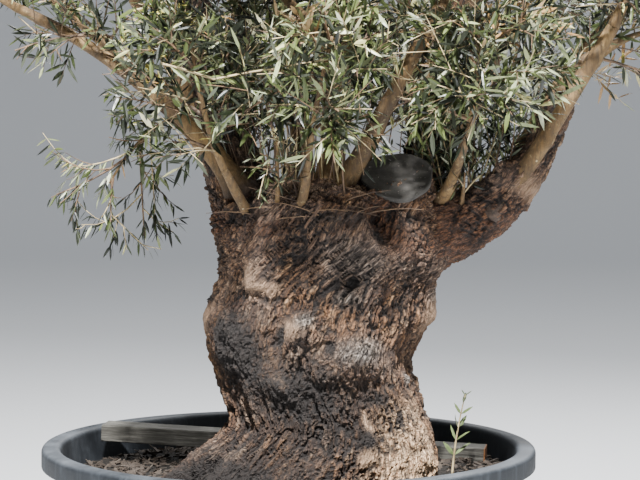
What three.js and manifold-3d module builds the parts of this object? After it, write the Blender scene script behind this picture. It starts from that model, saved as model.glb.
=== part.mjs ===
// An old olive grown as a giant bonsai: a short, thick, burred trunk with a few sawn and regrown limbs,
// standing in a round nursery container. Millimetres, +Z up, origin at the centre of the container's foot.
// In the front view +X is right and +Y is away.
import * as THREE from "three";
import { mergeVertices } from "three/addons/utils/BufferGeometryUtils.js";
import Module from "manifold-3d";

const wasm = await Module();
wasm.setup();

const GAP = 0.3;
const GROW = 0.36; // how much a solid is grown before it cuts its neighbour, so that slanted faces clear too
const TURN = 2 * Math.PI;
const GOLDEN_ANGLE = 2.39996;
const radians = THREE.MathUtils.degToRad;
const at = ([x, y, z]) => new THREE.Vector3(x, y, z);

// Container: a thin moulded wall with a broad rim folded outwards and down
const RIM_RADIUS = 520;
const POT_HEIGHT = 640;
const FOOT_RADIUS = 420;
const RIM_WIDTH = 40;
const RIM_EDGE = 6;
const SKIRT_DROP = 42;
const WALL = 6;
const POT_FLOOR = 10;
const POT_SIDES = 38;
const MOUTH_RADIUS = RIM_RADIUS - RIM_WIDTH;

// Potting soil
const SOIL_LEVEL = 572;
const SOIL_SIDES = 22;
const SOIL_RINGS = 3;
const SOIL_CLOD = 9;
const SOIL_BANK = { x: 385, y: 80, reach: 150, rise: 24 }; // the soil is heaped under the batten's low end

// Sawn batten that lies behind the trunk, across the container
const BATTEN = { length: 842, width: 70, thickness: 36 };
const BATTEN_LEFT = [-412.5, 182]; // near top corner of its left end, which meets the wall
const BATTEN_TURN = radians(-8);
const BATTEN_TOP = { left: 651, right: 620 };

// Trunk: height, middle in x and y, half width and half depth
const TRUNK = [
  [572.3, 30, -112, 283, 196],
  [637, 56, -112, 248, 172],
  [709, 78, -105, 203, 168],
  [760, 64, -100, 203, 172],
  [850, 47, -95, 207, 182],
  [914, 60, -92, 222, 190],
  [985, 74, -89, 219, 190],
  [1040, 92, -84, 240, 194],
  [1130, 79, -80, 237, 194],
  [1166, 78, -80, 214, 176],
  [1192, 78, -80, 160, 130],
  [1204, 78, -80, 92, 74],
];
const TRUNK_SIDES = 38;
const TRUNK_RINGS = 24;
const TRUNK_GIRTH = 205; // mean radius, which turns an angle into a distance round the bark
const FLUTES = [
  { count: 5, depth: 6, twist: 0.006 },
  { count: 9, depth: 4, twist: -0.009 },
];

// Burrs, roots and hollows: bearing in degrees (270 faces the viewer), height, half size across and up, and how far out
const BURRS = [
  { bearing: 183, height: 912, across: 62, up: 62, out: 20 },
  { bearing: 352, height: 945, across: 60, up: 62, out: 20 },
  { bearing: 237, height: 1036, across: 44, up: 72, out: 30 },
  { bearing: 261, height: 898, across: 36, up: 36, out: 22 },
  { bearing: 290, height: 842, across: 74, up: 40, out: 22 },
  { bearing: 253, height: 780, across: 34, up: 34, out: 16 },
  { bearing: 220, height: 893, across: 52, up: 60, out: 18 },
  { bearing: 325, height: 664, across: 84, up: 88, out: 30 },
  { bearing: 40, height: 880, across: 70, up: 90, out: 24 },
  { bearing: 85, height: 1010, across: 60, up: 60, out: 26 },
  { bearing: 130, height: 800, across: 66, up: 70, out: 20 },
  { bearing: 200, height: 580, across: 84, up: 46, out: 34 },
  { bearing: 262, height: 588, across: 80, up: 60, out: 30 },
  { bearing: 150, height: 586, across: 60, up: 34, out: 20 },
  { bearing: 300, height: 1128, across: 26, up: 40, out: -36 },
  { bearing: 304, height: 706, across: 18, up: 60, out: -20 },
  { bearing: 272, height: 1085, across: 60, up: 60, out: -14 },
  { bearing: 240, height: 845, across: 30, up: 34, out: -14 },
  { bearing: 234, height: 1000, across: 26, up: 22, out: 13 },
  { bearing: 262, height: 926, across: 22, up: 20, out: 14 },
  { bearing: 291, height: 866, across: 46, up: 28, out: 13 },
  { bearing: 278, height: 869, across: 22, up: 26, out: -20 },
  { bearing: 249, height: 893, across: 22, up: 34, out: -17 },
  { bearing: 238, height: 823, across: 40, up: 40, out: 12 },
  { bearing: 334, height: 784, across: 30, up: 36, out: 10 },
  { bearing: 295, height: 656, across: 32, up: 40, out: 13 },
  { bearing: 10, height: 700, across: 30, up: 60, out: 14 },
  { bearing: 60, height: 760, across: 34, up: 50, out: -12 },
  { bearing: 110, height: 900, across: 30, up: 60, out: -12 },
  { bearing: 150, height: 1000, across: 40, up: 50, out: 14 },
  { bearing: 75, height: 640, across: 40, up: 60, out: 16 },
  { bearing: 170, height: 690, across: 24, up: 70, out: -10 },
  { bearing: 20, height: 1010, across: 30, up: 40, out: -10 },
  { bearing: 130, height: 1080, across: 40, up: 40, out: 14 },
];

// Old sawn limb on the fork: a short stub with a flat sealed face
const STUB = { root: [226, -66, 1085], face: [221, -163, 1211], rootRadius: 92, faceRadius: 70, sides: 16 };

// Limbs: where each leaves its parent, the knee that it bends towards and its tip, with its two radii.
// Rough limbs are the old wood with thick bark, and the others are smooth regrowth.
const LIMBS = {
  arm_left: { from: "trunk", path: [[-56, -75, 1090], [-190, -20, 1330], [-232, 55, 1750]], radii: [84, 27], rough: true },
  arm_right: { from: "trunk", path: [[215, -95, 1060], [470, -110, 1110], [565, -100, 1380]], radii: [90, 28], rough: true },
  arm_back: { from: "trunk", path: [[250, 0, 1090], [300, 60, 1250], [400, 140, 1740]], radii: [70, 25], rough: true },
  bough_left: { from: "arm_left", path: [[-96, -118, 1175], [-252, -120, 1412], [-560, -95, 1552]], radii: [24, 9] },
  bough_left_inner: { from: "arm_left", path: [[-160, -30, 1320], [-250, -40, 1420], [-325, -60, 1580]], radii: [17, 12] },
  bough_left_back: { from: "arm_left", path: [[-150, 0, 1290], [-290, 110, 1400], [-490, 195, 1560]], radii: [21, 12] },
  bough_front_left: { from: "trunk", path: [[-70, -190, 1120], [-98, -240, 1170], [-125, -268, 1228]], radii: [12, 8] },
  bough_front_middle: { from: "trunk", path: [[20, -215, 1120], [32, -250, 1170], [38, -278, 1228]], radii: [12, 8] },
  bough_front_right: { from: "arm_right", path: [[306, -110, 1150], [345, -190, 1230], [358, -245, 1300]], radii: [13, 8] },
  bough_centre: { from: "trunk", path: [[68, -150, 1120], [180, -190, 1310], [305, -235, 1560]], radii: [22, 12] },
  bough_middle: { from: "trunk", path: [[80, -70, 1160], [95, -60, 1420], [75, -200, 1750]], radii: [27, 15] },
  bough_back_left: { from: "trunk", path: [[-40, 20, 1120], [-140, 170, 1290], [-290, 330, 1540]], radii: [26, 14] },
  bough_back: { from: "trunk", path: [[90, 40, 1130], [90, 190, 1200], [110, 370, 1370]], radii: [27, 14] },
  bough_back_upper: { from: "trunk", path: [[30, 10, 1150], [10, 150, 1440], [-55, 270, 1760]], radii: [26, 14] },
  bough_back_right: { from: "arm_back", path: [[292, 50, 1250], [390, 170, 1350], [480, 300, 1500]], radii: [22, 13] },
  bough_right_front: { from: "arm_right", path: [[430, -120, 1150], [545, -150, 1320], [655, -150, 1515]], radii: [20, 13] },
  bough_right_back: { from: "arm_right", path: [[440, -75, 1165], [490, -50, 1340], [700, 20, 1560]], radii: [18, 12] },
  bough_upper_right: { from: "arm_back", path: [[342, 90, 1480], [410, 20, 1600], [440, -50, 1775]], radii: [18, 13] },
  bough_front_upper: { from: "bough_middle", path: [[92, -98, 1440], [70, -170, 1490], [0, -235, 1560]], radii: [13, 9] },
  bough_top: { from: "bough_middle", path: [[92, -85, 1400], [130, 20, 1700], [70, 20, 2000]], radii: [19, 12] },
};
const ROUGH_SIDES = 10;
const SMOOTH_SIDES = 6;
const LIMB_STEPS = { rough: 8, smooth: 5 };

// Masses of foliage: the limb whose tip carries each, the middle and half sizes of its space, and its shoots.
// Those with a root grow straight from the bark there, along lean.
const MASSES = [
  { name: "foliage_left", limb: "bough_left", middle: [-680, -110, 1680], half: [230, 230, 190], shoots: 5 },
  { name: "foliage_left_inner", limb: "bough_left_inner", middle: [-380, -130, 1710], half: [200, 200, 180], shoots: 5 },
  { name: "foliage_left_back", limb: "bough_left_back", middle: [-590, 240, 1700], half: [230, 220, 190], shoots: 5 },
  { name: "foliage_front_left", limb: "bough_front_left", middle: [-165, -335, 1395], half: [180, 165, 205], shoots: 6 },
  { name: "foliage_front_middle", limb: "bough_front_middle", middle: [70, -375, 1400], half: [175, 160, 200], shoots: 6 },
  { name: "foliage_front_right", limb: "bough_front_right", middle: [365, -345, 1430], half: [195, 165, 190], shoots: 6 },
  { name: "foliage_front_upper", limb: "bough_front_upper", middle: [-60, -350, 1660], half: [220, 180, 160], shoots: 5 },
  { name: "foliage_centre", limb: "bough_centre", middle: [300, -340, 1690], half: [210, 200, 180], shoots: 5 },
  { name: "foliage_right_low", limb: "arm_right", middle: [690, -80, 1470], half: [150, 120, 140], shoots: 6 },
  { name: "foliage_right_front", limb: "bough_right_front", middle: [720, -210, 1680], half: [210, 200, 180], shoots: 5 },
  { name: "foliage_right", limb: "bough_right_back", middle: [840, 100, 1690], half: [220, 230, 190], shoots: 5 },
  { name: "foliage_back_right", limb: "bough_back_right", middle: [560, 400, 1640], half: [240, 220, 200], shoots: 5 },
  { name: "foliage_back", limb: "bough_back", middle: [130, 520, 1530], half: [240, 210, 210], shoots: 5 },
  { name: "foliage_back_left", limb: "bough_back_left", middle: [-330, 430, 1690], half: [240, 220, 200], shoots: 5 },
  { name: "foliage_upper_left", limb: "arm_left", middle: [-340, 60, 1940], half: [280, 260, 220], shoots: 5 },
  { name: "foliage_upper_front", limb: "bough_middle", middle: [20, -310, 1920], half: [270, 240, 220], shoots: 5 },
  { name: "foliage_upper_right", limb: "bough_upper_right", middle: [500, -140, 1950], half: [270, 250, 220], shoots: 5 },
  { name: "foliage_upper_back_right", limb: "arm_back", middle: [480, 280, 1910], half: [260, 250, 220], shoots: 4 },
  { name: "foliage_upper_back", limb: "bough_back_upper", middle: [-30, 390, 1930], half: [280, 240, 220], shoots: 4 },
  { name: "foliage_top", limb: "bough_top", middle: [70, 30, 2170], half: [340, 320, 210], shoots: 6 },
  { name: "foliage_hanging", root: [-222, -116, 1329], lean: [-0.9, -0.2, -0.2], middle: [-315, -150, 1240], half: [175, 90, 190], shoots: 5, weeps: true },
  { name: "foliage_fork", root: [-20, -215, 1150], lean: [0, -0.5, 0.86], middle: [-20, -295, 1240], half: [90, 75, 95], shoots: 5 },
  { name: "foliage_burr_sprout", root: [352, -138, 1150], lean: [0.1, -0.6, 0.8], middle: [354, -180, 1203], half: [54, 48, 50], shoots: 4 },
  { name: "foliage_inner_left", root: [8, -92, 1204], lean: [-0.28, -0.05, 0.96], middle: [-55, -95, 1430], half: [150, 130, 165], shoots: 5 },
  { name: "foliage_inner_right", root: [150, -62, 1204], lean: [0.35, 0.02, 0.93], middle: [265, -70, 1430], half: [140, 125, 160], shoots: 5 },
  { name: "foliage_left_low", root: [-340, -121, 1437], lean: [-0.45, -0.45, 0.77], middle: [-410, -175, 1505], half: [155, 130, 115], shoots: 5 },
];
const LEAF_LENGTH = 136;
const LEAF_WIDTH = 30;
const LEAF_THICKNESS = 2.4;
const LEAF_SPREAD = radians(48);
const LEAF_SPACING = 212;
const SMALL_MASS = 130; // a mass narrower than this has leaves of a reduced size
const SPACE_MARGIN = 0.02;
const LIMB_CLEARANCE = 8;
const STEM_RADIUS_END = 4;
const SHOOT_RADII = [6, 3.4];

// Root sucker beside the trunk
const SUCKER = { root: [344, -42], height: 174, lean: [26, -6], sunk: 12, radius: 2.8, leaf: 40, pairs: 3 };

// Seeded random numbers, so that the tree grows the same each time.
function seeded(seed) {
  let state = seed >>> 0;
  return () => {
    state = (Math.imul(state, 1664525) + 1013904223) >>> 0;
    return state / 4294967296;
  };
}

function solidOf(geometry) {
  const bare = new THREE.BufferGeometry().setAttribute("position", geometry.getAttribute("position"));
  bare.setIndex(geometry.index);
  const merged = mergeVertices(bare, 1e-4);
  return new wasm.Manifold(
    new wasm.Mesh({
      numProp: 3,
      vertProperties: new Float32Array(merged.attributes.position.array),
      triVerts: new Uint32Array(merged.index.array),
    }),
  );
}

function geometryOf(solid) {
  const mesh = solid.getMesh();
  return new THREE.BufferGeometry()
    .setAttribute("position", new THREE.BufferAttribute(mesh.vertProperties, 3))
    .setIndex(new THREE.BufferAttribute(mesh.triVerts, 1));
}

// The largest single body of a solid: scraps that a cut leaves are dropped, and sealed hollows are filled.
function largestBody(solid) {
  const bodies = solid.decompose();
  return bodies.reduce((best, body) => (body.volume() > best.volume() ? body : best));
}

// A closed solid through rings of points that run anticlockwise round their direction, each end capped round its middle.
function loft(rings) {
  const sides = rings[0].length;
  const points = rings.flat();
  const faces = [];
  for (let ring = 0; ring + 1 < rings.length; ring++) {
    for (let i = 0; i < sides; i++) {
      const [a, b] = [ring * sides + i, ring * sides + ((i + 1) % sides)];
      faces.push(a, b, b + sides, a, b + sides, a + sides);
    }
  }
  [0, rings.length - 1].forEach((ring, end) => {
    const middle = points.length;
    points.push(rings[ring].reduce((sum, p) => sum.add(p), at([0, 0, 0])).divideScalar(sides));
    for (let i = 0; i < sides; i++) {
      const edge = [ring * sides + i, ring * sides + ((i + 1) % sides)];
      faces.push(middle, edge[1 - end], edge[end]);
    }
  });
  return new THREE.BufferGeometry().setFromPoints(points).setIndex(faces);
}

// Smooth values between the rows of a table whose first column is the height.
function between(rows, height) {
  const last = rows.length - 1;
  let k = 0;
  while (k < last - 1 && rows[k + 1][0] <= height) k++;
  const slope = (i, c) => {
    const [low, high] = [rows[Math.max(0, i - 1)], rows[Math.min(last, i + 1)]];
    return (high[c] - low[c]) / (high[0] - low[0]);
  };
  const [low, high] = [rows[k], rows[k + 1]];
  const span = high[0] - low[0];
  const t = (height - low[0]) / span;
  return low.map((value, c) => {
    const rise = high[c] - value;
    const [m0, m1] = [slope(k, c) * span, slope(k + 1, c) * span];
    return value + t * (m0 + t * (3 * rise - 2 * m0 - m1 + t * (m0 + m1 - 2 * rise)));
  });
}

// How far the bark stands out from the plain trunk at a bearing and height.
function barkRelief(angle, height) {
  let out = 0;
  for (const { count, depth, twist } of FLUTES) out += depth * Math.cos(count * angle + twist * height);
  for (const burr of BURRS) {
    const turn = Math.atan2(Math.sin(angle - radians(burr.bearing)), Math.cos(angle - radians(burr.bearing)));
    const [u, v] = [(turn * TRUNK_GIRTH) / burr.across, (height - burr.height) / burr.up];
    out += burr.out * Math.exp(-u * u - v * v);
  }
  return out;
}

const TRUNK_FOOT = TRUNK[0][0];
const TRUNK_TOP = TRUNK[TRUNK.length - 1][0];

function barkPoint(angle, height) {
  const [, x, y, halfWidth, halfDepth] = between(TRUNK, height);
  const out = barkRelief(angle, height) * THREE.MathUtils.smoothstep(TRUNK_TOP - height, 0, 60);
  return at([x + (halfWidth + out) * Math.cos(angle), y + (halfDepth + out) * Math.sin(angle), height]);
}

function trunkRing(height, grow) {
  return Array.from({ length: TRUNK_SIDES }, (_, i) => {
    const angle = (i / TRUNK_SIDES) * TURN;
    const around = barkPoint(angle + 0.02, height).sub(barkPoint(angle - 0.02, height));
    const upward = barkPoint(angle, height + 1).sub(barkPoint(angle, height - 1));
    return barkPoint(angle, height).addScaledVector(around.cross(upward).normalize(), grow);
  });
}

function trunkBody(grow = 0) {
  const rings = [];
  for (let ring = 0; ring <= TRUNK_RINGS; ring++) {
    rings.push(trunkRing(THREE.MathUtils.lerp(TRUNK_FOOT, TRUNK_TOP, ring / TRUNK_RINGS), grow));
  }
  rings[TRUNK_RINGS].forEach((p) => (p.z = TRUNK_TOP + grow));
  if (grow) rings.unshift(rings[0].map((p) => p.clone().setZ(TRUNK_FOOT - grow)));
  return solidOf(loft(rings));
}

// A ring of points round a curve. The side stays square to a curve that lies in one plane.
function ringRound(curve, t, sides, radiusAt, shift = 0) {
  const middle = curve.getPoint(t);
  const along = curve.getTangent(t);
  const plane = new THREE.Vector3().crossVectors(curve.v1.clone().sub(curve.v0), curve.v2.clone().sub(curve.v0));
  if (plane.length() < 1) plane.crossVectors(along, at([0.3, 1, 0.2]));
  const side = plane.normalize();
  const up = new THREE.Vector3().crossVectors(along, side);
  return Array.from({ length: sides }, (_, i) => {
    const angle = (i / sides) * TURN;
    const radius = radiusAt(angle);
    const p = middle.clone().addScaledVector(along, shift);
    return p.addScaledVector(side, radius * Math.cos(angle)).addScaledVector(up, radius * Math.sin(angle));
  });
}

function curveOf(points) {
  return new THREE.QuadraticBezierCurve3(...points.map((p) => (p.isVector3 ? p : at(p))));
}

// A tapering limb along its curve; old wood swells and dips round its girth.
function limbBody({ path, radii, rough }, grow = 0) {
  const curve = curveOf(path);
  const [sides, steps] = rough ? [ROUGH_SIDES, LIMB_STEPS.rough] : [SMOOTH_SIDES, LIMB_STEPS.smooth];
  const rings = [];
  for (let step = 0; step <= steps; step++) {
    const t = step / steps;
    const taper = THREE.MathUtils.lerp(radii[0], radii[1], rough ? t ** 0.75 : t);
    const swell = (angle) => (rough ? 0.09 * Math.cos(2 * angle + 6 * t) + 0.06 * Math.cos(3 * angle - 9 * t) : 0);
    const shift = step === 0 ? -grow : step === steps ? grow : 0;
    rings.push(ringRound(curve, t, sides, (angle) => taper * (1 + swell(angle) * (1 - t)) + grow, shift));
  }
  return solidOf(loft(rings));
}

function stubBody(grow = 0) {
  const [root, face] = [at(STUB.root), at(STUB.face)];
  const curve = curveOf([root, root.clone().lerp(face, 0.5), face]);
  const rings = [0, 0.5, 1].map((t) =>
    ringRound(curve, t, STUB.sides, () => THREE.MathUtils.lerp(STUB.rootRadius, STUB.faceRadius, t) + grow, t * grow),
  );
  return solidOf(loft(rings));
}

function trunkSolid(grow = 0) {
  return largestBody(trunkBody(grow).add(stubBody(grow)));
}

function containerGeometry() {
  const skirt = RIM_RADIUS - WALL;
  const outside = MOUTH_RADIUS + WALL;
  const profile = [
    [0, 0],
    [FOOT_RADIUS, 0],
    [outside, POT_HEIGHT - WALL],
    [skirt, POT_HEIGHT - WALL],
    [skirt, POT_HEIGHT - SKIRT_DROP],
    [RIM_RADIUS, POT_HEIGHT - SKIRT_DROP],
    [RIM_RADIUS, POT_HEIGHT - RIM_EDGE],
    [RIM_RADIUS - RIM_EDGE, POT_HEIGHT],
    [MOUTH_RADIUS + RIM_EDGE, POT_HEIGHT],
    [MOUTH_RADIUS, POT_HEIGHT - RIM_EDGE],
    [FOOT_RADIUS - WALL, POT_FLOOR],
    [0, POT_FLOOR],
  ];
  const turned = new THREE.LatheGeometry(profile.map(([r, z]) => new THREE.Vector2(r, z)), POT_SIDES);
  return turned.rotateX(Math.PI / 2);
}

// Inside radius of the container at a height, on the flats between the corners of its faceted wall.
function insideRadius(height) {
  const share = (height - POT_FLOOR) / (POT_HEIGHT - RIM_EDGE - POT_FLOOR);
  return THREE.MathUtils.lerp(FOOT_RADIUS - WALL, MOUTH_RADIUS, share) * Math.cos(Math.PI / POT_SIDES) - GAP;
}

// Height of the soil, where clod is 1 at the top of a clod and 0 at its foot.
function soilHeight(x, y, clod) {
  const bank = Math.hypot(x - SOIL_BANK.x, y - SOIL_BANK.y) / SOIL_BANK.reach;
  return SOIL_LEVEL + SOIL_CLOD * (clod - 0.5) + SOIL_BANK.rise * Math.exp(-bank * bank);
}

function soilGeometry() {
  const random = seeded(5);
  const low = POT_FLOOR + GAP;
  const ring = (radius, heightAt) =>
    Array.from({ length: SOIL_SIDES }, (_, i) => {
      const angle = (i / SOIL_SIDES) * TURN;
      const [x, y] = [radius * Math.cos(angle), radius * Math.sin(angle)];
      return at([x, y, heightAt(x, y)]);
    });
  const rings = [ring(insideRadius(low), () => low)];
  for (let k = SOIL_RINGS; k > 0; k--) {
    rings.push(ring((insideRadius(SOIL_LEVEL - SOIL_CLOD) * k) / SOIL_RINGS, (x, y) => soilHeight(x, y, random())));
  }
  return loft(rings);
}

function battenSolid(grow = 0) {
  const { length, width, thickness } = BATTEN;
  const box = new THREE.BoxGeometry(length + 2 * grow, width + 2 * grow, thickness + 2 * grow);
  box.translate(length / 2, width / 2, -thickness / 2);
  const drop = Math.asin((BATTEN_TOP.left - BATTEN_TOP.right) / length);
  box.rotateY(drop).rotateZ(BATTEN_TURN).translate(...BATTEN_LEFT, BATTEN_TOP.left);
  return solidOf(box);
}

// Distance from a point to a limb's bark, negative inside it.
function offLimb(point, limb) {
  let nearest = Infinity;
  for (let k = 0; k < limb.line.length - 1; k++) {
    const [a, b] = [limb.line[k], limb.line[k + 1]];
    const along = b.clone().sub(a);
    const t = THREE.MathUtils.clamp(point.clone().sub(a).dot(along) / along.lengthSq(), 0, 1);
    const radius = THREE.MathUtils.lerp(limb.radii[0], limb.radii[1], (k + t) / (limb.line.length - 1));
    nearest = Math.min(nearest, a.clone().addScaledVector(along, t).distanceTo(point) - radius);
  }
  return nearest;
}

const lines = Object.values(LIMBS).map((limb) => ({ radii: limb.radii, line: curveOf(limb.path).getPoints(12) }));

function offTrunk(point) {
  if (point.z > TRUNK_TOP + LIMB_CLEARANCE) return true;
  const [, x, y, halfWidth, halfDepth] = between(TRUNK, Math.min(point.z, TRUNK_TOP));
  return Math.hypot((point.x - x) / (halfWidth + 34), (point.y - y) / (halfDepth + 34)) > 1;
}

// How far out a point lies in a mass's space: 0 at its middle and 1 at its edge.
function depthIn(mass, point) {
  return Math.hypot(...["x", "y", "z"].map((axis, i) => (point[axis] - mass.middle[i]) / mass.half[i]));
}

// A mass keeps to the part of its space that lies deeper in it than in any other mass's.
function isOwn(mass, point) {
  const depth = depthIn(mass, point);
  return depth <= 1 && MASSES.every((other) => other === mass || depth + SPACE_MARGIN < depthIn(other, point));
}

function isFree(mass, point) {
  return isOwn(mass, point) && offTrunk(point) && lines.every((limb) => offLimb(point, limb) > LIMB_CLEARANCE);
}

// Share of a curve, from its start, that stays free.
function freeShare(mass, curve, steps, from) {
  for (let step = from; step <= steps; step++) {
    if (!isFree(mass, curve.getPoint(step / steps))) return (step - 1) / steps;
  }
  return 1;
}

function partOf(curve, share) {
  const [a, b, c] = [curve.v0, curve.v1, curve.v2];
  const knee = a.clone().lerp(b, share);
  return new THREE.QuadraticBezierCurve3(a, knee, knee.clone().lerp(b.clone().lerp(c, share), share));
}

function twigSolid(curve, radii, sides, steps) {
  const rings = [];
  for (let step = 0; step <= steps; step++) {
    const t = step / steps;
    rings.push(ringRound(curve, t, sides, () => THREE.MathUtils.lerp(radii[0], radii[1], t)));
  }
  return solidOf(loft(rings));
}

// Corners of a lanceolate leaf: its root and tip, and its edges and faces where it is broadest.
function leafCorners(root, direction, face, length, width) {
  const across = new THREE.Vector3().crossVectors(face, direction).normalize();
  const up = new THREE.Vector3().crossVectors(direction, across).normalize();
  const broad = root.clone().addScaledVector(direction, 0.42 * length);
  return [
    root.clone(),
    broad.clone().addScaledVector(across, width / 2),
    broad.clone().addScaledVector(up, LEAF_THICKNESS / 2),
    broad.clone().addScaledVector(across, -width / 2),
    broad.clone().addScaledVector(up, -LEAF_THICKNESS / 2),
    root.clone().addScaledVector(direction, length),
  ];
}

function leafSolid(corners) {
  const faces = [];
  for (let i = 0; i < 4; i++) {
    const [a, b] = [1 + i, 1 + ((i + 1) % 4)];
    faces.push(0, b, a, 5, a, b);
  }
  const leaf = solidOf(new THREE.BufferGeometry().setFromPoints(corners).setIndex(faces));
  if (leaf.volume() > 0) return leaf;
  throw new Error("a leaf is inside out");
}

// The direction square to a curve at one turn round it.
function squareTo(along, turn) {
  const side = new THREE.Vector3().crossVectors(along, Math.abs(along.z) < 0.9 ? at([0, 0, 1]) : at([1, 0, 0]));
  side.normalize();
  const up = new THREE.Vector3().crossVectors(side, along);
  return side.multiplyScalar(Math.cos(turn)).addScaledVector(up, Math.sin(turn));
}

// Where a mass starts: its stem's root, direction and radius.
function startOf(mass) {
  if (mass.root) return { root: at(mass.root), along: at(mass.lean).normalize(), radius: 6 };
  const limb = LIMBS[mass.limb];
  const curve = curveOf(limb.path);
  const along = curve.getTangent(1);
  return { root: curve.getPoint(1).addScaledVector(along, GAP), along, radius: limb.radii[1] };
}

function stemCurve(mass, start) {
  const middle = at(mass.middle);
  const reach = middle.distanceTo(start.root);
  const knee = start.root.clone().addScaledVector(start.along, 0.6 * reach);
  return curveOf([start.root, knee, middle.clone().lerp(start.root, -0.5)]);
}

// Length from a point to the edge of the mass's space.
function toEdge(mass, point, direction) {
  let length = 0;
  const probe = point.clone();
  while (length < 700 && depthIn(mass, probe) < 1) {
    length += 10;
    probe.copy(point).addScaledVector(direction, length);
  }
  return length;
}

// Shoots leave the stem by the golden angle, spread more at its foot, and reach the edge of the space.
function shootCurves(mass, stem, random) {
  const shoots = [];
  for (let k = 0; k < mass.shoots; k++) {
    const share = 0.16 + (0.8 * k) / (mass.shoots - 1);
    const root = stem.getPoint(share);
    const along = stem.getTangent(share);
    const lean = radians(4 + 58 * share);
    const out = squareTo(along, k * GOLDEN_ANGLE + 0.5 * random());
    const direction = out.multiplyScalar(Math.cos(lean)).addScaledVector(along, Math.sin(lean)).normalize();
    const length = (0.8 + 0.14 * random()) * toEdge(mass, root, direction);
    const lift = (mass.weeps ? -0.25 : 0.1) * length;
    const knee = root.clone().addScaledVector(direction, 0.5 * length).add(at([0, 0, lift]));
    const tip = root.clone().addScaledVector(direction, length).add(at([0, 0, mass.weeps ? -0.3 * length : 0]));
    shoots.push(curveOf([root, knee, tip]));
  }
  return shoots;
}

function massSolid(mass, index) {
  const random = seeded(101 + 17 * index);
  const start = startOf(mass);
  let stem = stemCurve(mass, start);
  stem = partOf(stem, Math.max(0.4, freeShare(mass, stem, 12, 4)));
  const size = Math.min(1, Math.max(0.42, Math.min(...mass.half) / SMALL_MASS));
  const pieces = [twigSolid(stem, [start.radius, STEM_RADIUS_END * size], 5, 3)];
  for (const whole of shootCurves(mass, stem, random)) {
    const share = freeShare(mass, whole, 12, 2);
    if (share < 0.3) continue;
    const shoot = partOf(whole, share);
    pieces.push(twigSolid(shoot, SHOOT_RADII.map((r) => r * size), 3, 2));
    const nodes = Math.max(1, Math.round(shoot.getLength() / (LEAF_SPACING * size)));
    for (let node = 0; node <= nodes; node++) {
      const spot = 0.24 + (0.74 * node) / nodes;
      const along = shoot.getTangent(spot);
      const turns = node === nodes ? [0] : [0, Math.PI];
      for (const turn of turns) {
        const out = squareTo(along, turn + node * 0.5 * Math.PI + 0.9 * random());
        const spread = node === nodes ? 0.15 : LEAF_SPREAD + 0.3 * (random() - 0.5);
        const direction = along.clone().multiplyScalar(Math.cos(spread)).addScaledVector(out, Math.sin(spread));
        const root = shoot.getPoint(spot).addScaledVector(direction, -2);
        const face = squareTo(direction, TURN * random());
        const length = size * LEAF_LENGTH * (0.85 + 0.3 * random());
        const corners = leafCorners(root, direction.normalize(), face, length, size * LEAF_WIDTH);
        if (corners.slice(1).every((corner) => isFree(mass, corner))) pieces.push(leafSolid(corners));
      }
    }
  }
  return largestBody(wasm.Manifold.union(pieces));
}

function suckerSolid() {
  const root = at([...SUCKER.root, soilHeight(...SUCKER.root, 0) - SUCKER.sunk]);
  const tip = root.clone().add(at([...SUCKER.lean, SUCKER.height]));
  const stem = curveOf([root, root.clone().lerp(tip, 0.5).add(at([-8, 0, 0])), tip]);
  const pieces = [twigSolid(stem, [SUCKER.radius, 1], 5, 3)];
  for (let pair = 0; pair <= SUCKER.pairs; pair++) {
    const spot = 0.25 + (0.74 * pair) / SUCKER.pairs;
    for (const turn of [0, Math.PI]) {
      const along = stem.getTangent(spot);
      const out = squareTo(along, turn + pair * 1.3);
      const direction = along.clone().multiplyScalar(0.7).addScaledVector(out, 0.72).normalize();
      const length = SUCKER.leaf * (1 - 0.25 * spot);
      const start = stem.getPoint(spot).addScaledVector(direction, -1);
      pieces.push(leafSolid(leafCorners(start, direction, squareTo(direction, 1.4), length, 0.22 * length)));
    }
  }
  return largestBody(wasm.Manifold.union(pieces));
}

const MATERIALS = {
  plastic: new THREE.MeshStandardMaterial({ color: "#4a4c4c", roughness: 0.62, metalness: 0 }),
  soil: new THREE.MeshStandardMaterial({ color: "#4b3a2d", roughness: 0.95, metalness: 0 }),
  timber: new THREE.MeshStandardMaterial({ color: "#8f8672", roughness: 0.85, metalness: 0 }),
  oldBark: new THREE.MeshStandardMaterial({ color: "#7b6552", roughness: 0.9, metalness: 0 }),
  smoothBark: new THREE.MeshStandardMaterial({ color: "#8d7350", roughness: 0.75, metalness: 0 }),
  leaf: new THREE.MeshStandardMaterial({ color: "#6f7c66", roughness: 0.6, metalness: 0 }),
};

const tree = new THREE.Group();

function add(name, geometry, material) {
  const mesh = new THREE.Mesh(geometry, material);
  mesh.name = name;
  tree.add(mesh);
}

const grownTrunk = trunkSolid(GROW);
add("container", containerGeometry(), MATERIALS.plastic);
const soil = solidOf(soilGeometry()).subtract(grownTrunk).subtract(battenSolid(GROW));
add("potting_soil", geometryOf(largestBody(soil)), MATERIALS.soil);
add("batten", geometryOf(battenSolid()), MATERIALS.timber);
add("trunk", geometryOf(trunkSolid()), MATERIALS.oldBark);

const grown = [grownTrunk];
for (const [name, limb] of Object.entries(LIMBS)) {
  const body = grown.reduce((rest, other) => rest.subtract(other), limbBody(limb));
  grown.push(limbBody(limb, GROW));
  add(name, geometryOf(largestBody(body)), limb.rough ? MATERIALS.oldBark : MATERIALS.smoothBark);
}
MASSES.forEach((mass, index) => {
  const body = grown.reduce((rest, other) => rest.subtract(other), massSolid(mass, index));
  add(mass.name, geometryOf(largestBody(body)), MATERIALS.leaf);
});
const sucker = suckerSolid().subtract(solidOf(soilGeometry().translate(0, 0, GROW)));
add("root_sucker", geometryOf(largestBody(sucker)), MATERIALS.leaf);

export default tree;
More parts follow.
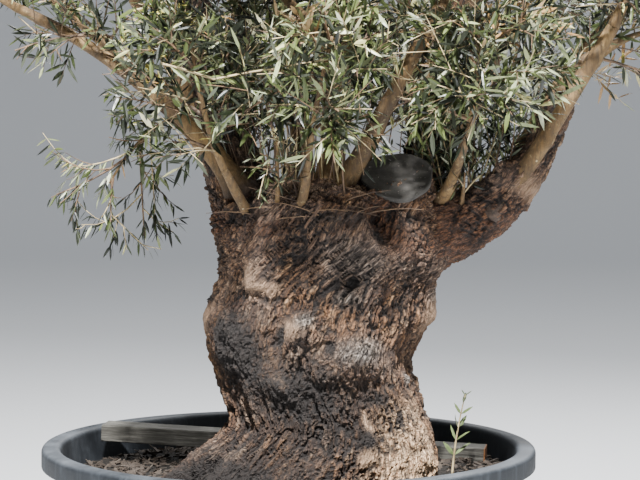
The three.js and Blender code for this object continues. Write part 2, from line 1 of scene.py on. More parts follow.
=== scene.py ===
# %% [markdown]
# # An old olive grown as a giant bonsai
# The tree has a thick, burred trunk, a few old rough limbs, smooth young boughs and a crown of narrow
# grey-green leaves. It stands in a round nursery container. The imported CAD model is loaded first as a
# fixed frame: every piece below is made in the same place, in metres, with +Y away from the viewer.

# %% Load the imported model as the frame
import math

import bpy
import numpy as np
from mathutils import Matrix, Vector, noise


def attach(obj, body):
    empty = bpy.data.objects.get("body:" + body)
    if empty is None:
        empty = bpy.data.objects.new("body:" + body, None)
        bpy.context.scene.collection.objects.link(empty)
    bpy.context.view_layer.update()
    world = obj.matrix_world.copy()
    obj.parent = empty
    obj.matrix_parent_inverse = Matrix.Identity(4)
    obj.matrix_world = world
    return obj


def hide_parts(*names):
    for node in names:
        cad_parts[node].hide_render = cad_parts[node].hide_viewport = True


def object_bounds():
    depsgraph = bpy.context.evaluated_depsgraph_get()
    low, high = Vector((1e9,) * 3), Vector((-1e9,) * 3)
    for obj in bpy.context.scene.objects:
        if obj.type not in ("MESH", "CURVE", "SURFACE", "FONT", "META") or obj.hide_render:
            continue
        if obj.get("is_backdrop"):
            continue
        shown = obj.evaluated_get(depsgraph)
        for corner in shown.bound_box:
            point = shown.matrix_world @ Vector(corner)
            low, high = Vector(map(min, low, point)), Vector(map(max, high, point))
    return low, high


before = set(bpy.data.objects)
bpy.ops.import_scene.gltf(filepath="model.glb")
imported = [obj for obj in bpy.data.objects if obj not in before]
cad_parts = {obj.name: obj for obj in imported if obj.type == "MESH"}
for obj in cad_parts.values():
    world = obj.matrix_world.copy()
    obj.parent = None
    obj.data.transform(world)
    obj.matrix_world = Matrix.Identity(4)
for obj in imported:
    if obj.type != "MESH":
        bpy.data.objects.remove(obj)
CAD_LOW, CAD_HIGH = (np.array(corner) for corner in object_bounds())
MM = 0.001
TURN = 2 * math.pi
print("nodes", len(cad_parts), "size", [round(v, 3) for v in CAD_HIGH - CAD_LOW])

# %% [markdown]
# ## The camera
# The viewpoint is found from the container's rim: its two ends and its tilt in the picture give the
# height and distance of the eye. A long lens from 4.7 m keeps the trunk free of distortion. The camera
# is turned by a small roll, because the picture isn't quite level.

# %% Place the camera
EYE, PITCH_DOWN, ROLL = (0.0648, -4.7, 1.3744), 3.687, 0.266
LENS, SENSOR = 126.07, 36


def placed(name, data):
    """A new object in the scene."""
    made = bpy.data.objects.new(name, data)
    bpy.context.scene.collection.objects.link(made)
    return made


camera = placed("camera", bpy.data.cameras.new("camera"))
camera.data.lens, camera.data.sensor_width = LENS, SENSOR
tilt = Matrix.Rotation(math.radians(90 - PITCH_DOWN), 4, "X") @ Matrix.Rotation(math.radians(ROLL), 4, "Z")
camera.matrix_world = Matrix.Translation(EYE) @ tilt
bpy.context.scene.camera = camera
print("camera", EYE, "lens", LENS)

# %% [markdown]
# ## Helpers for meshes
# A mesh is made from plain arrays, which is much faster than adding its corners one by one. Most
# shapes are rings of points, and what covers them is quads or triangles from one ring to the next.

# %% Mesh helpers
def mesh_object(name, points, faces, smooth=True):
    mesh = bpy.data.meshes.new(name)
    points = np.asarray(points, np.float32).reshape(-1, 3)
    faces = np.asarray(faces, np.int32)
    count, corners = faces.shape
    mesh.vertices.add(len(points))
    mesh.vertices.foreach_set("co", points.ravel())
    mesh.loops.add(count * corners)
    mesh.loops.foreach_set("vertex_index", faces.ravel())
    mesh.polygons.add(count)
    mesh.polygons.foreach_set("loop_start", np.arange(count, dtype=np.int32) * corners)
    mesh.update(calc_edges=True)
    mesh.validate()
    mesh.polygons.foreach_set("use_smooth", np.full(len(mesh.polygons), smooth))
    return placed(name, mesh)


def ring_of(count):
    """Bearings of the points of a ring."""
    return [TURN * k / count for k in range(count)]


def quads_between(rings, sides):
    """The four corners of each face between rings of points, ring by ring."""
    starts = [ring * sides for ring in range(rings - 1)]
    pairs = [(start + k, start + (k + 1) % sides) for start in starts for k in range(sides)]
    return [(a, b, b + sides, a + sides) for a, b in pairs]


def split(quads):
    """Two triangles for each quad."""
    return [face for a, b, c, d in quads for face in ((a, b, c), (a, c, d))]


def skin(name, rings, smooth=True, ends=None, downward=False):
    """An object over rings of points that run anticlockwise round their direction, or clockwise where they
    run downward. Each end is closed round its middle, or round a given point."""
    rings = np.asarray(rings, float)
    count, sides = rings.shape[:2]
    points = np.concatenate([rings.reshape(-1, 3), ends or [rings[0].mean(0), rings[-1].mean(0)]])
    quads = quads_between(count, sides)
    faces = split([(a, d, c, b) for a, b, c, d in quads] if downward else quads)
    foot, last = count * sides, (count - 1) * sides
    for k in range(sides):
        i, following = ((k + 1) % sides, k) if downward else (k, (k + 1) % sides)
        faces += [(foot, following, i), (foot + 1, last + i, last + following)]
    return mesh_object(name, points, faces, smooth)


def points_of(thing):
    values = np.empty(len(thing.data.vertices) * 3, np.float32)
    thing.data.vertices.foreach_get("co", values)
    return values.reshape(-1, 3).astype(float)


def store(thing, name, values):
    """Keeps a number or a vector for each point of an object."""
    values = np.asarray(values, np.float32)
    kind, field = ("FLOAT", "value") if values.ndim == 1 else ("FLOAT_VECTOR", "vector")
    thing.data.attributes.new(name, kind, "POINT").data.foreach_set(field, values.ravel())


def evaluated(thing):
    """The plain mesh that an object's modifier makes; the modifier is then taken off."""
    made = bpy.data.meshes.new_from_object(thing.evaluated_get(bpy.context.evaluated_depsgraph_get()))
    thing.modifiers.clear()
    return made


def joined(things, name):
    bpy.ops.object.select_all(action="DESELECT")
    for thing in things:
        thing.select_set(True)
    bpy.context.view_layer.objects.active = things[0]
    bpy.ops.object.join()
    things[0].name = name
    return things[0]


def triangles(thing):
    return sum(len(face.vertices) - 2 for face in thing.data.polygons)


def dress(thing, material, slot, *nodes):
    """Gives a finished piece its material and its place on the tree's body, and hides the nodes that it
    stands for.
    """
    if material:
        thing.data.materials.clear()
        thing.data.materials.append(material)
    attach(thing, "root")
    if nodes:
        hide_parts(*nodes)
    print(thing.name, triangles(thing), "triangles")


# %% [markdown]
# ## Helpers for node trees
# A shader or geometry tree is written like a list: each method adds one node, sets or links its inputs
# and gives back the output that is wanted of it. Colours are written as sRGB hex values and turned to
# linear light.

# %% Node helpers
def linear(hex_colour):
    values = [int(hex_colour[i : i + 2], 16) / 255 for i in (1, 3, 5)]
    return tuple(v / 12.92 if v <= 0.04045 else ((v + 0.055) / 1.055) ** 2.4 for v in values) + (1.0,)


class Nodes:
    """A node tree in the making."""

    def __init__(self, tree):
        self.tree = tree

    def put(self, socket, value):
        """Links an input to another node's output, or sets it."""
        if isinstance(value, bpy.types.NodeSocket):
            self.tree.links.new(value, socket)
        else:
            is_colour = isinstance(value, str) and value.startswith("#")
            socket.default_value = linear(value) if is_colour else value

    def add(self, kind, inputs=None, **settings):
        node = self.tree.nodes.new(kind)
        for name, value in settings.items():
            setattr(node, name, value)
        for name, value in (inputs or {}).items():
            self.put(node.inputs[name], value)
        return node

    def noise(self, where, scale, detail=2, roughness=0.5, output="Fac"):
        inputs = {"Vector": where, "Scale": scale, "Detail": detail, "Roughness": roughness}
        return self.add("ShaderNodeTexNoise", inputs).outputs[output]

    def cells(self, where, scale, output="Distance", feature="F1"):
        inputs = {"Vector": where, "Scale": scale}
        return self.add("ShaderNodeTexVoronoi", inputs, feature=feature).outputs[output]

    def stretched(self, where, scale):
        return self.add("ShaderNodeMapping", {"Vector": where, "Scale": scale}).outputs["Vector"]

    def axis(self, vector, name):
        return self.add("ShaderNodeSeparateXYZ", {"Vector": vector}).outputs[name]

    def xyz(self, x, y, z):
        return self.add("ShaderNodeCombineXYZ", {"X": x, "Y": y, "Z": z}).outputs[0]

    def vector(self, operation, *values):
        node = self.add("ShaderNodeVectorMath", operation=operation)
        sockets = [node.inputs[0], node.inputs["Scale"]] if operation == "SCALE" else node.inputs
        for socket, value in zip(sockets, values):
            self.put(socket, value)
        return node.outputs[0]

    def times(self, one, other, operation="MULTIPLY", **settings):
        return self.add("ShaderNodeMath", {0: one, 1: other}, operation=operation, **settings).outputs[0]

    def plus(self, one, other, **settings):
        return self.times(one, other, "ADD", **settings)

    def minus(self, one, other):
        return self.times(one, other, "SUBTRACT")

    def between(self, value, low, high, to_low=0.0, to_high=1.0):
        inputs = {"Value": value, "From Min": low, "From Max": high, "To Min": to_low, "To Max": to_high}
        return self.add("ShaderNodeMapRange", inputs, clamp=True).outputs["Result"]

    def mix(self, factor, one, other, kind="RGBA"):
        first, output = {"FLOAT": (2, 0), "VECTOR": (4, 1), "RGBA": (6, 2)}[kind]
        inputs = {0: factor, first: one, first + 1: other}
        return self.add("ShaderNodeMix", inputs, data_type=kind).outputs[output]

    def ramp(self, factor, *stops):
        """A colour ramp from (place, hex colour) pairs."""
        node = self.add("ShaderNodeValToRGB", {"Fac": factor})
        while len(node.color_ramp.elements) < len(stops):
            node.color_ramp.elements.new(0.5)
        for element, (position, colour) in zip(node.color_ramp.elements, stops):
            element.position, element.color = position, linear(colour)
        return node.outputs["Color"]


# %% [markdown]
# ### Materials
# A finish is one shader that is fed with colours and roughness in the object's own metres, so a pattern
# has its true size on every piece. Its finest relief is a bump and isn't in the mesh.

# %% Helper for materials
class Finish(Nodes):
    """A material in the making, with its shader and the object's own coordinates in metres."""

    def __init__(self, name):
        self.material = bpy.data.materials.new(name)
        self.material.use_nodes = True
        super().__init__(self.material.node_tree)
        self.tree.nodes.clear()
        self.shader = self.add("ShaderNodeBsdfPrincipled")
        self.add("ShaderNodeOutputMaterial", {"Surface": self.shader.outputs["BSDF"]})
        self.place = self.add("ShaderNodeTexCoord").outputs["Object"]

    def stored(self, name, output="Fac"):
        """A value that is kept on the object's points."""
        return self.add("ShaderNodeAttribute", attribute_name=name).outputs[output]

    def coat(self, colour, roughness, bump=None, **gloss):
        """The finished material; bump is the height, strength and depth in metres of its finest relief."""
        inputs = {"Base Color": colour, "Roughness": roughness, **gloss}
        if bump:
            relief = self.add("ShaderNodeBump", dict(zip(("Height", "Strength", "Distance"), bump)))
            inputs["Normal"] = relief.outputs["Normal"]
        for name, value in inputs.items():
            self.put(self.shader.inputs[name], value)
        return self.material


# %% [markdown]
# ### Rules for shapes
# A rule is a Geometry Nodes tree with named inputs. It is run once on an object, and the plain mesh that
# it makes is kept in place of the rule.

# %% Helper for Geometry Nodes
class Growth(Nodes):
    """A Geometry Nodes tree with a Geometry input and output and named number inputs."""

    def __init__(self, name, inputs):
        super().__init__(bpy.data.node_groups.new(name, "GeometryNodeTree"))
        self.defaults = inputs
        self.tree.interface.new_socket("Geometry", in_out="INPUT", socket_type="NodeSocketGeometry")
        self.tree.interface.new_socket("Geometry", in_out="OUTPUT", socket_type="NodeSocketGeometry")
        for label, value in inputs.items():
            socket = self.tree.interface.new_socket(label, in_out="INPUT", socket_type="NodeSocketFloat")
            socket.default_value = value
        self.need = self.add("NodeGroupInput").outputs

    def named(self, name, kind="FLOAT"):
        made = self.add("GeometryNodeInputNamedAttribute", {"Name": name}, data_type=kind)
        return made.outputs["Attribute"]

    def kept(self, geometry, name, value):
        """Stores a number on the points."""
        inputs = {"Geometry": geometry, "Name": name, "Value": value}
        made = self.add("GeometryNodeStoreNamedAttribute", inputs, data_type="FLOAT", domain="POINT")
        return made.outputs["Geometry"]

    def random(self, low, high, seed):
        inputs = {"Min": low, "Max": high, "Seed": seed}
        return self.add("FunctionNodeRandomValue", inputs, data_type="FLOAT_VECTOR").outputs[0]

    def finish(self, geometry):
        self.put(self.add("NodeGroupOutput").inputs["Geometry"], geometry)

    def finish_real(self, instances, material):
        """Ends the tree with everything made real and in one material."""
        real = self.add("GeometryNodeRealizeInstances", {"Geometry": instances}).outputs["Geometry"]
        made = self.add("GeometryNodeSetMaterial", {"Geometry": real, "Material": material})
        self.finish(made.outputs["Geometry"])

    def settle(self, thing, **changed):
        """Runs the tree on an object and returns the plain mesh that it makes."""
        modifier = thing.modifiers.new(self.tree.name, "NODES")
        modifier.node_group = self.tree
        values = {**self.defaults, **changed}
        for item in self.tree.interface.items_tree:
            if item.item_type == "SOCKET" and item.in_out == "INPUT" and item.name in values:
                modifier[item.identifier] = values[item.name]
        return evaluated(thing)


# %% [markdown]
# ## Floor and light
# A plain pale floor and a pale sky stand in for a studio. Far out the floor rises like the rim of a
# bowl, so that no horizon cuts through the crown. The picture was taken in high daylight that comes from
# above and in front, so the strongest lamp hangs there. A weak one on the right keeps the shaded side
# of the bark readable, and a broad one behind lights the back. All have some size, for soft shadows.

# %% Make the floor, the sky and the lamps
FLAT_REACH, BOWL_REACH, BOWL_HEIGHT, BOWL_STEPS, FLOOR_SIDES = 14, 32, 13, 30, 72
SKY_COLOUR, SKY_STRENGTH = "#d9dde3", 0.48
shares = [k / BOWL_STEPS for k in range(1, BOWL_STEPS + 1)]
bowl = [(FLAT_REACH + (BOWL_REACH - FLAT_REACH) * share, BOWL_HEIGHT * share**2.2) for share in shares]
floor_rings = [
    [(reach * math.cos(angle), reach * math.sin(angle), height) for angle in ring_of(FLOOR_SIDES)]
    for reach, height in [(0.01, 0), (FLAT_REACH, 0)] + bowl
]
floor_faces = [(a, d, c, b) for a, b, c, d in quads_between(len(floor_rings), FLOOR_SIDES)]
floor = mesh_object("floor", floor_rings, floor_faces)
floor.data.materials.append(Finish("matte_studio_floor").coat("#e4e6e8", 0.9))
floor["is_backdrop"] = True

sky = bpy.data.worlds.new("pale_sky")
sky.use_nodes = True
light = sky.node_tree.nodes["Background"].inputs
light["Color"].default_value, light["Strength"].default_value = linear(SKY_COLOUR), SKY_STRENGTH
bpy.context.scene.world = sky


def lamp(name, place, aim, power, size):
    made = placed(name, bpy.data.lights.new(name, "AREA"))
    made.data.energy, made.data.size = power, size
    made.location = place
    made.rotation_euler = (Vector(aim) - Vector(place)).to_track_quat("-Z", "Y").to_euler()


lamp("key_lamp", (-0.3, -3.3, 5.3), (0.05, 0, 1.2), 1850, 0.36)
lamp("fill_lamp", (3.4, -2.6, 1.6), (0.05, 0, 1.1), 30, 2.0)
lamp("back_lamp", (1.4, 3.8, 4.4), (0.05, 0, 1.4), 260, 1.6)
print("floor and three lamps")

# %% [markdown]
# ## The container
# A nursery container for a specimen tree is moulded in one piece from black polyethylene. Its wall is
# only some 6 mm thick, and it is stiffened by a broad rim that folds outwards and down. A lathe gives
# this shape best: one profile, with every fold rounded by a small arc, is turned round the axis.

# %% Turn the container's profile
RIM_RADIUS, POT_HEIGHT, FOOT_RADIUS = 0.520, 0.640, 0.420
MOUTH_RADIUS, WALL, POT_FLOOR, SKIRT_DROP = 0.480, 0.006, 0.010, 0.042
POT_TURNS, FOLD_STEPS = 180, 5
HOOP_HEIGHTS, HOOP_HALF, HOOP_OUT = (0.10, 0.31, 0.52), 0.006, 0.003  # shallow hoops stiffen the wall
BOW = 0.0016  # the soft plastic has given way a little under the weight of the soil


def rounded(profile):
    """Rounds each corner (radius, height, rounding) of a profile with a short arc."""
    points = []
    for k, (r, z, rounding) in enumerate(profile):
        here = Vector((r, z))
        if not rounding:
            points.append(here)
            continue
        before, after = ((Vector(profile[j][:2]) - here).normalized() for j in (k - 1, k + 1))
        for t in (step / FOLD_STEPS for step in range(FOLD_STEPS + 1)):
            points.append(here + before * rounding * (1 - t) ** 2 + after * rounding * t**2)
    return points


skirt, outside = RIM_RADIUS - WALL, MOUTH_RADIUS + WALL
profile = [(FOOT_RADIUS - 0.03, 0, 0), (FOOT_RADIUS, 0, 0.012)]
for height in HOOP_HEIGHTS:
    radius = FOOT_RADIUS + (outside - FOOT_RADIUS) / (POT_HEIGHT - WALL) * height
    for step, out, rounding in ((-2, 0, 0.004), (-1, HOOP_OUT, 0.003), (1, HOOP_OUT, 0.003), (2, 0, 0.004)):
        profile.append((radius + out, height + step * HOOP_HALF, rounding))
profile += [
    (outside, POT_HEIGHT - WALL - 0.001, 0.008),
    (skirt, POT_HEIGHT - WALL - 0.001, 0.008),
    (skirt, POT_HEIGHT - SKIRT_DROP, 0.0015),
    (RIM_RADIUS, POT_HEIGHT - SKIRT_DROP, 0.003),
    (RIM_RADIUS, POT_HEIGHT - 0.001, 0.011),
    (MOUTH_RADIUS, POT_HEIGHT, 0.013),
    (FOOT_RADIUS - WALL, POT_FLOOR, 0.01),
    (0.2, POT_FLOOR, 0),
]
pot_rings = []
for point in rounded(profile):
    ring = []
    for angle in ring_of(POT_TURNS):
        reach = point.x + BOW * math.sin(3 * angle + 0.8) * min(1, point.y / POT_HEIGHT)
        ring.append((reach * math.cos(angle), reach * math.sin(angle), point.y))
    pot_rings.append(ring)
container = skin("nursery_container", pot_rings)
print("container profile", len(pot_rings), "points")

# %% [markdown]
# ### Weathered polyethylene
# Black polyethylene is waxy and slightly rough when it is new. Years outdoors turn it chalky: dust lies
# on everything that faces up, and water has run down the wall in pale streaks. The dust is mixed in by
# how far the surface faces up, which stays true from every side.

# %% Mix the weathered polyethylene
paint = Finish("weathered_black_polyethylene")
facing_up = paint.axis(paint.add("ShaderNodeNewGeometry").outputs["Normal"], "Z")
clouds = paint.noise(paint.place, 14, 6, 0.62)
patches = paint.noise(paint.place, 3.2, 3)
streaks = paint.noise(paint.stretched(paint.place, (1, 1, 0.12)), 60, 4, 0.7)
grit = paint.noise(paint.place, 420, 3)
black = paint.ramp(clouds, (0.25, "#111418"), (0.5, "#1f2226"), (0.75, "#33373c"))
streaked = paint.mix(paint.between(streaks, 0.52, 0.78, 0, 0.45), black, "#464c52")
dust = paint.times(paint.between(facing_up, 0.25, 0.95, 0, 0.55), paint.between(clouds, 0.3, 0.62, 0.35, 1))
dusty = paint.mix(dust, streaked, paint.ramp(patches, (0.3, "#3c4147"), (0.7, "#6e7379")))
dull = paint.between(clouds, 0.3, 0.7, 0.5, 0.78)
plastic = paint.coat(dusty, dull, (grit, 0.25, 0.0015), **{"Specular IOR Level": 0.3})
dress(container, plastic, "container_plastic", "container")

# %% [markdown]
# ## The potting soil
# The container is filled to a hand's breadth below the rim with a coarse bark compost. It is lumpy,
# banked up behind the trunk on the right, and littered with bark chips and straw. The surface is a
# polar grid that is raised by fractal noise; the same heights are used to lay the litter on it.

# %% Raise the soil
SOIL_LEVEL, SOIL_LUMPS, SOIL_CRUMBS = 0.572, 0.006, 0.0025
SOIL_BANK = {"x": 0.385, "y": 0.080, "reach": 0.150, "rise": 0.024}
WALL_DIP, WALL_DIP_START, WALL_DIP_WIDTH = 0.004, 0.40, 0.07  # the soil has shrunk away from the wall
SOIL_RINGS, SOIL_TURNS, SOIL_GAP = 90, 230, 0.0008


def wall_inside(height):
    share = (height - POT_FLOOR) / (POT_HEIGHT - WALL - POT_FLOOR)
    return FOOT_RADIUS - WALL + (MOUTH_RADIUS - FOOT_RADIUS + WALL) * share


def soil_height(x, y):
    bank = math.hypot(x - SOIL_BANK["x"], y - SOIL_BANK["y"]) / SOIL_BANK["reach"]
    lumps = noise.fractal(Vector((x * 16, y * 16, 3.1)), 0.9, 2.1, 4)
    crumbs = noise.noise(Vector((x * 130, y * 130, 8)))
    near_wall = max(0, (math.hypot(x, y) - WALL_DIP_START) / WALL_DIP_WIDTH)
    level = SOIL_LEVEL + SOIL_BANK["rise"] * math.exp(-bank * bank)
    return level + SOIL_LUMPS * lumps + SOIL_CRUMBS * crumbs - WALL_DIP * near_wall


def soil_ring(reach, sides, above=0):
    """A ring of points on the soil."""
    spots = [(reach * math.cos(angle), reach * math.sin(angle)) for angle in ring_of(sides)]
    return [(x, y, soil_height(x, y) + above) for x, y in spots]


soil_reach, soil_floor = wall_inside(SOIL_LEVEL) - 0.0005, POT_FLOOR + 0.0004
soil_rings = [soil_ring(soil_reach * ring / SOIL_RINGS, SOIL_TURNS) for ring in range(1, SOIL_RINGS + 1)]
for height in (0.50, soil_floor):
    reach = wall_inside(height) - SOIL_GAP
    soil_rings.append([(reach * math.cos(a), reach * math.sin(a), height) for a in ring_of(SOIL_TURNS)])
middles = [(0, 0, soil_height(0, 0)), (0, 0, soil_floor)]
soil = skin("potting_soil_bed", soil_rings, ends=middles, downward=True)
print("soil", triangles(soil), "triangles")

# %% [markdown]
# ### Bark compost
# Bark compost is dark, with some browner crumbs, and its colour is darkened further towards black as painted
# shade. Noise gives its tones, and a cell pattern of 5 mm gives the crumbs that are too fine for the mesh.

# %% Mix the compost
paint = Finish("bark_compost")
lumps, crumbs = paint.noise(paint.place, 60, 8, 0.7), paint.cells(paint.place, 210)
# dark compost browns, darkened further as painted shade
brown = paint.ramp(lumps, (0.28, "#0a0807"), (0.47, "#161310"), (0.62, "#201c18"), (0.8, "#322d28"))
compost = paint.coat(brown, 0.95, (crumbs, 0.8, 0.004), **{"Specular IOR Level": 0.25})
dress(soil, compost, "soil", "potting_soil")

# %% [markdown]
# ### Bark chips and straw
# The litter is some thousands of small flat chips and thin stalks that lie every way. Geometry Nodes
# suit this: points are dealt out over the top of the soil with a fixed seed, a chip is set on each,
# turned and sized at random, and everything is made real at the end.

# %% Scatter the litter with Geometry Nodes
BED_RINGS, BED_SIDES, BED_START, BED_WIDTH, BED_LIFT = 60, 120, 0.10, 0.358, 0.0015
LITTER = {  # finish, dark and light tone, how many, length, width, thickness, tilt
    "bark_chips": ("bark_chip", "#19130f", "#453a30", 3600.0, 0.017, 0.008, 0.003, 0.55),
    # the straw is darkened to grey-brown as painted shade
    "straw_litter": ("dry_straw", "#302a23", "#51483f", 1000.0, 0.042, 0.0022, 0.0016, 0.4),
}


def litter(name, material, sizes):
    plan = Growth(name, dict(zip(("Per Square Metre", "Length", "Width", "Thickness", "Tilt"), sizes)))
    need = plan.need
    inputs = {"Mesh": need["Geometry"], "Density": need["Per Square Metre"], "Seed": 7}
    spread = plan.add("GeometryNodeDistributePointsOnFaces", inputs)
    size = plan.xyz(need["Length"], need["Width"], need["Thickness"])
    chip = plan.add("GeometryNodeMeshCube", {"Size": size, "Vertices X": 3}).outputs["Mesh"]
    bulge = plan.random((-0.0008,) * 3, (0.0008,) * 3, 3)
    bent = plan.add("GeometryNodeSetPosition", {"Geometry": chip, "Offset": bulge}).outputs["Geometry"]
    tilted_back = plan.xyz(plan.times(need["Tilt"], -1.0), 0.0, 0.0)
    turn = plan.random(tilted_back, plan.xyz(need["Tilt"], need["Tilt"], TURN), 11)
    scale = plan.random((0.5, 0.5, 0.6), (1.5, 1.4, 1.4), 13)
    inputs = {"Points": spread.outputs["Points"], "Instance": bent, "Rotation": turn, "Scale": scale}
    plan.finish_real(plan.add("GeometryNodeInstanceOnPoints", inputs).outputs["Instances"], material)
    return plan


def dry_litter(name, dark, light):
    paint = Finish(name)
    mottle, fibre = paint.noise(paint.place, 45, 5, 0.8), paint.noise(paint.place, 600)
    return paint.coat(paint.ramp(mottle, (0.32, dark), (0.68, light)), 0.9, (fibre, 0.5, 0.001))


bed_reaches = [BED_START + BED_WIDTH * k / (BED_RINGS - 1) for k in range(BED_RINGS)]
bed_rings = [soil_ring(reach, BED_SIDES, BED_LIFT) for reach in bed_reaches]
bed_faces = [(a, d, c, b) for a, b, c, d in quads_between(BED_RINGS, BED_SIDES)]
for label, (finish_name, dark, light, *sizes) in LITTER.items():
    bed = mesh_object(label, bed_rings, bed_faces)
    bed.data = litter(label, dry_litter(finish_name, dark, light), sizes).settle(bed)
    dress(bed, None, "soil")

# %% [markdown]
# ## The batten
# A length of sawn softwood lies across the container behind the trunk, one end close to the wall and the
# other bedded in the soil. Years of weather have turned it silver grey and opened its grain; only the
# cut end keeps some of its orange. It is a long skin with rounded edges and saw-rough faces.

# %% Saw the batten
BATTEN_LENGTH, BATTEN_WIDTH, BATTEN_THICKNESS = 0.842, 0.070, 0.036
BATTEN_CORNER, BATTEN_TURN, BATTEN_FALL = Vector((-0.4125, 0.182, 0.651)), -8, 0.651 - 0.620
EDGE_ROUNDING, BATTEN_STATIONS = 0.003, 90
SAW_MARKS, END_CHIPS = 0.0007, 0.0015
SPLIT_DEPTH, SPLIT_SHARE, SPLIT_LINE = 0.002, 0.06, 6  # a crack opens the left end along one line of points
section = []
for corner, (cy, cz) in enumerate([(1, 1), (0, 1), (0, 0), (1, 0)]):
    middle = Vector((cy * BATTEN_WIDTH, (cz - 1) * BATTEN_THICKNESS))
    middle += Vector((1 - 2 * cy, 1 - 2 * cz)) * EDGE_ROUNDING
    for angle in (math.radians(90 * corner + 30 * step) for step in range(4)):
        section.append(middle + EDGE_ROUNDING * Vector((math.cos(angle), math.sin(angle))))
batten_rings = []
for station in range(BATTEN_STATIONS + 1):
    share = station / BATTEN_STATIONS
    ring = []
    for k, (y, z) in enumerate(section):
        saw = SAW_MARKS * noise.noise(Vector((share * 60, k * 1.7, 4)))
        split_end = -SPLIT_DEPTH * max(0, 1 - share / SPLIT_SHARE) * (k == SPLIT_LINE)
        at_end = station in (0, BATTEN_STATIONS)
        chipped = END_CHIPS * noise.noise(Vector((y * 300, z * 300, share * 9))) * at_end
        ring.append((share * BATTEN_LENGTH + chipped, y + saw, z + saw + split_end))
    batten_rings.append(ring)
batten = skin("weathered_batten", batten_rings, smooth=False)
store(batten, "grain", points_of(batten))
batten_drop = Matrix.Rotation(math.asin(BATTEN_FALL / BATTEN_LENGTH), 4, "Y")
batten_turn = Matrix.Rotation(math.radians(BATTEN_TURN), 4, "Z")
batten.data.transform(Matrix.Translation(BATTEN_CORNER) @ (batten_turn @ batten_drop))
print("batten", [round(v, 3) for v in batten.dimensions])

# %% [markdown]
# ### Weathered softwood
# Bare softwood turns silver grey outdoors, and the soft part of each ring wears away. The rings are noise
# that is drawn out along the board, in coordinates that were stored before the board was turned.

# %% Mix the weathered softwood
paint = Finish("weathered_sawn_softwood")
along = paint.stored("grain", "Vector")
rings = paint.noise(paint.stretched(along, (0.05, 1, 1)), 210, 6, 0.65)
stains = paint.between(paint.noise(along, 16, 4), 0.45, 0.75, 0, 0.5)
grey = paint.ramp(rings, (0.3, "#282723"), (0.5, "#514f49"), (0.72, "#827f77"))
at_end = paint.between(paint.axis(along, "X"), BATTEN_LENGTH - 0.004, BATTEN_LENGTH - 0.001)
colour = paint.mix(at_end, paint.mix(stains, grey, "#34312b"), "#85572f")
dress(batten, paint.coat(colour, 0.85, (rings, 0.6, 0.0015)), "timber", "batten")

# %% [markdown]
# ## The old wood
# The trunk is a short cylinder that decades of pruning have turned into a mass of burrs, folds and
# hollows. Its main form is the same table of heights, middles and half widths that the CAD trunk has,
# with smooth values between its rows. Each burr or hollow is a soft bump at a bearing and a height, so
# the list below reads like a map of the bark: 270 degrees faces the viewer.

# %% Main form of the trunk, in millimetres
TRUNK = np.array([
    [572.3, 30, -112, 283, 196], [637, 56, -112, 248, 172], [709, 78, -105, 203, 168],
    [760, 64, -100, 203, 172], [850, 47, -95, 207, 182], [914, 60, -92, 222, 190],
    [985, 74, -89, 219, 190], [1040, 92, -84, 240, 194], [1130, 79, -80, 237, 194],
    [1166, 78, -80, 214, 176], [1192, 78, -80, 160, 130], [1204, 78, -80, 92, 74],
])
TRUNK_FOOT, TRUNK_TOP, TRUNK_GIRTH, TOP_CALM = TRUNK[0, 0], TRUNK[-1, 0], 205, 60
TRUNK_TURNS, TRUNK_RINGS = 360, 170
FLUTES = [(5, 6, 0.006), (9, 4, -0.009), (14, 2.6, 0.011), (23, 2.2, -0.004)]  # count, depth, twist
# bearing, height, half size across, half size up, how far out
BURRS = [
    (183, 912, 62, 62, 20), (352, 945, 60, 62, 20), (237, 1036, 44, 72, 30), (261, 898, 36, 36, 22),
    (290, 842, 74, 40, 22), (253, 780, 34, 34, 16), (220, 893, 52, 60, 18), (325, 664, 84, 88, 30),
    (40, 880, 70, 90, 24), (85, 1010, 60, 60, 26), (130, 800, 66, 70, 20), (200, 580, 84, 46, 34),
    (262, 588, 80, 60, 30), (150, 586, 60, 34, 20), (300, 1128, 26, 40, -36), (304, 706, 18, 60, -20),
    (272, 1085, 60, 60, -14), (240, 845, 30, 34, -14), (234, 1000, 26, 22, 13), (262, 926, 22, 20, 14),
    (291, 866, 46, 28, 13), (278, 869, 22, 26, -20), (249, 893, 22, 34, -17), (238, 823, 40, 40, 12),
    (334, 784, 30, 36, 10), (295, 656, 32, 40, 13), (10, 700, 30, 60, 14), (60, 760, 34, 50, -12),
    (110, 900, 30, 60, -12), (150, 1000, 40, 50, 14), (75, 640, 40, 60, 16), (170, 690, 24, 70, -10),
    (20, 1010, 30, 40, -10), (130, 1080, 40, 40, 14),
]
# The finer forms on the near side: x and height as seen from the front, half sizes, how far out
FRONT_FORMS = [
    (189, 1112, 15, 30, -16), (159, 1113, 11, 62, 9), (222, 1122, 12, 56, 12), (94, 1128, 50, 20, -9),
    (-8, 1016, 9, 48, -13), (-52, 1076, 8, 8, -9), (128, 1004, 9, 8, -13), (120, 971, 26, 20, 8),
    (84, 820, 38, 16, 10), (128, 832, 26, 8, -9), (160, 884, 13, 12, 9), (168, 828, 18, 15, 10),
    (-12, 804, 15, 15, 12), (238, 800, 10, 10, 8), (165, 728, 9, 22, -12), (30, 760, 60, 16, -7),
    (-90, 760, 14, 50, -8), (60, 690, 12, 70, -8), (-20, 660, 14, 70, -9), (100, 640, 16, 60, 8),
    (-95, 640, 16, 60, 8), (20, 620, 18, 40, 8), (200, 960, 12, 60, -8), (250, 1010, 14, 40, -9),
    (60, 1060, 12, 60, -6), (-110, 1090, 18, 22, 10), (-130, 1010, 14, 30, -9), (0, 960, 30, 10, -6),
]
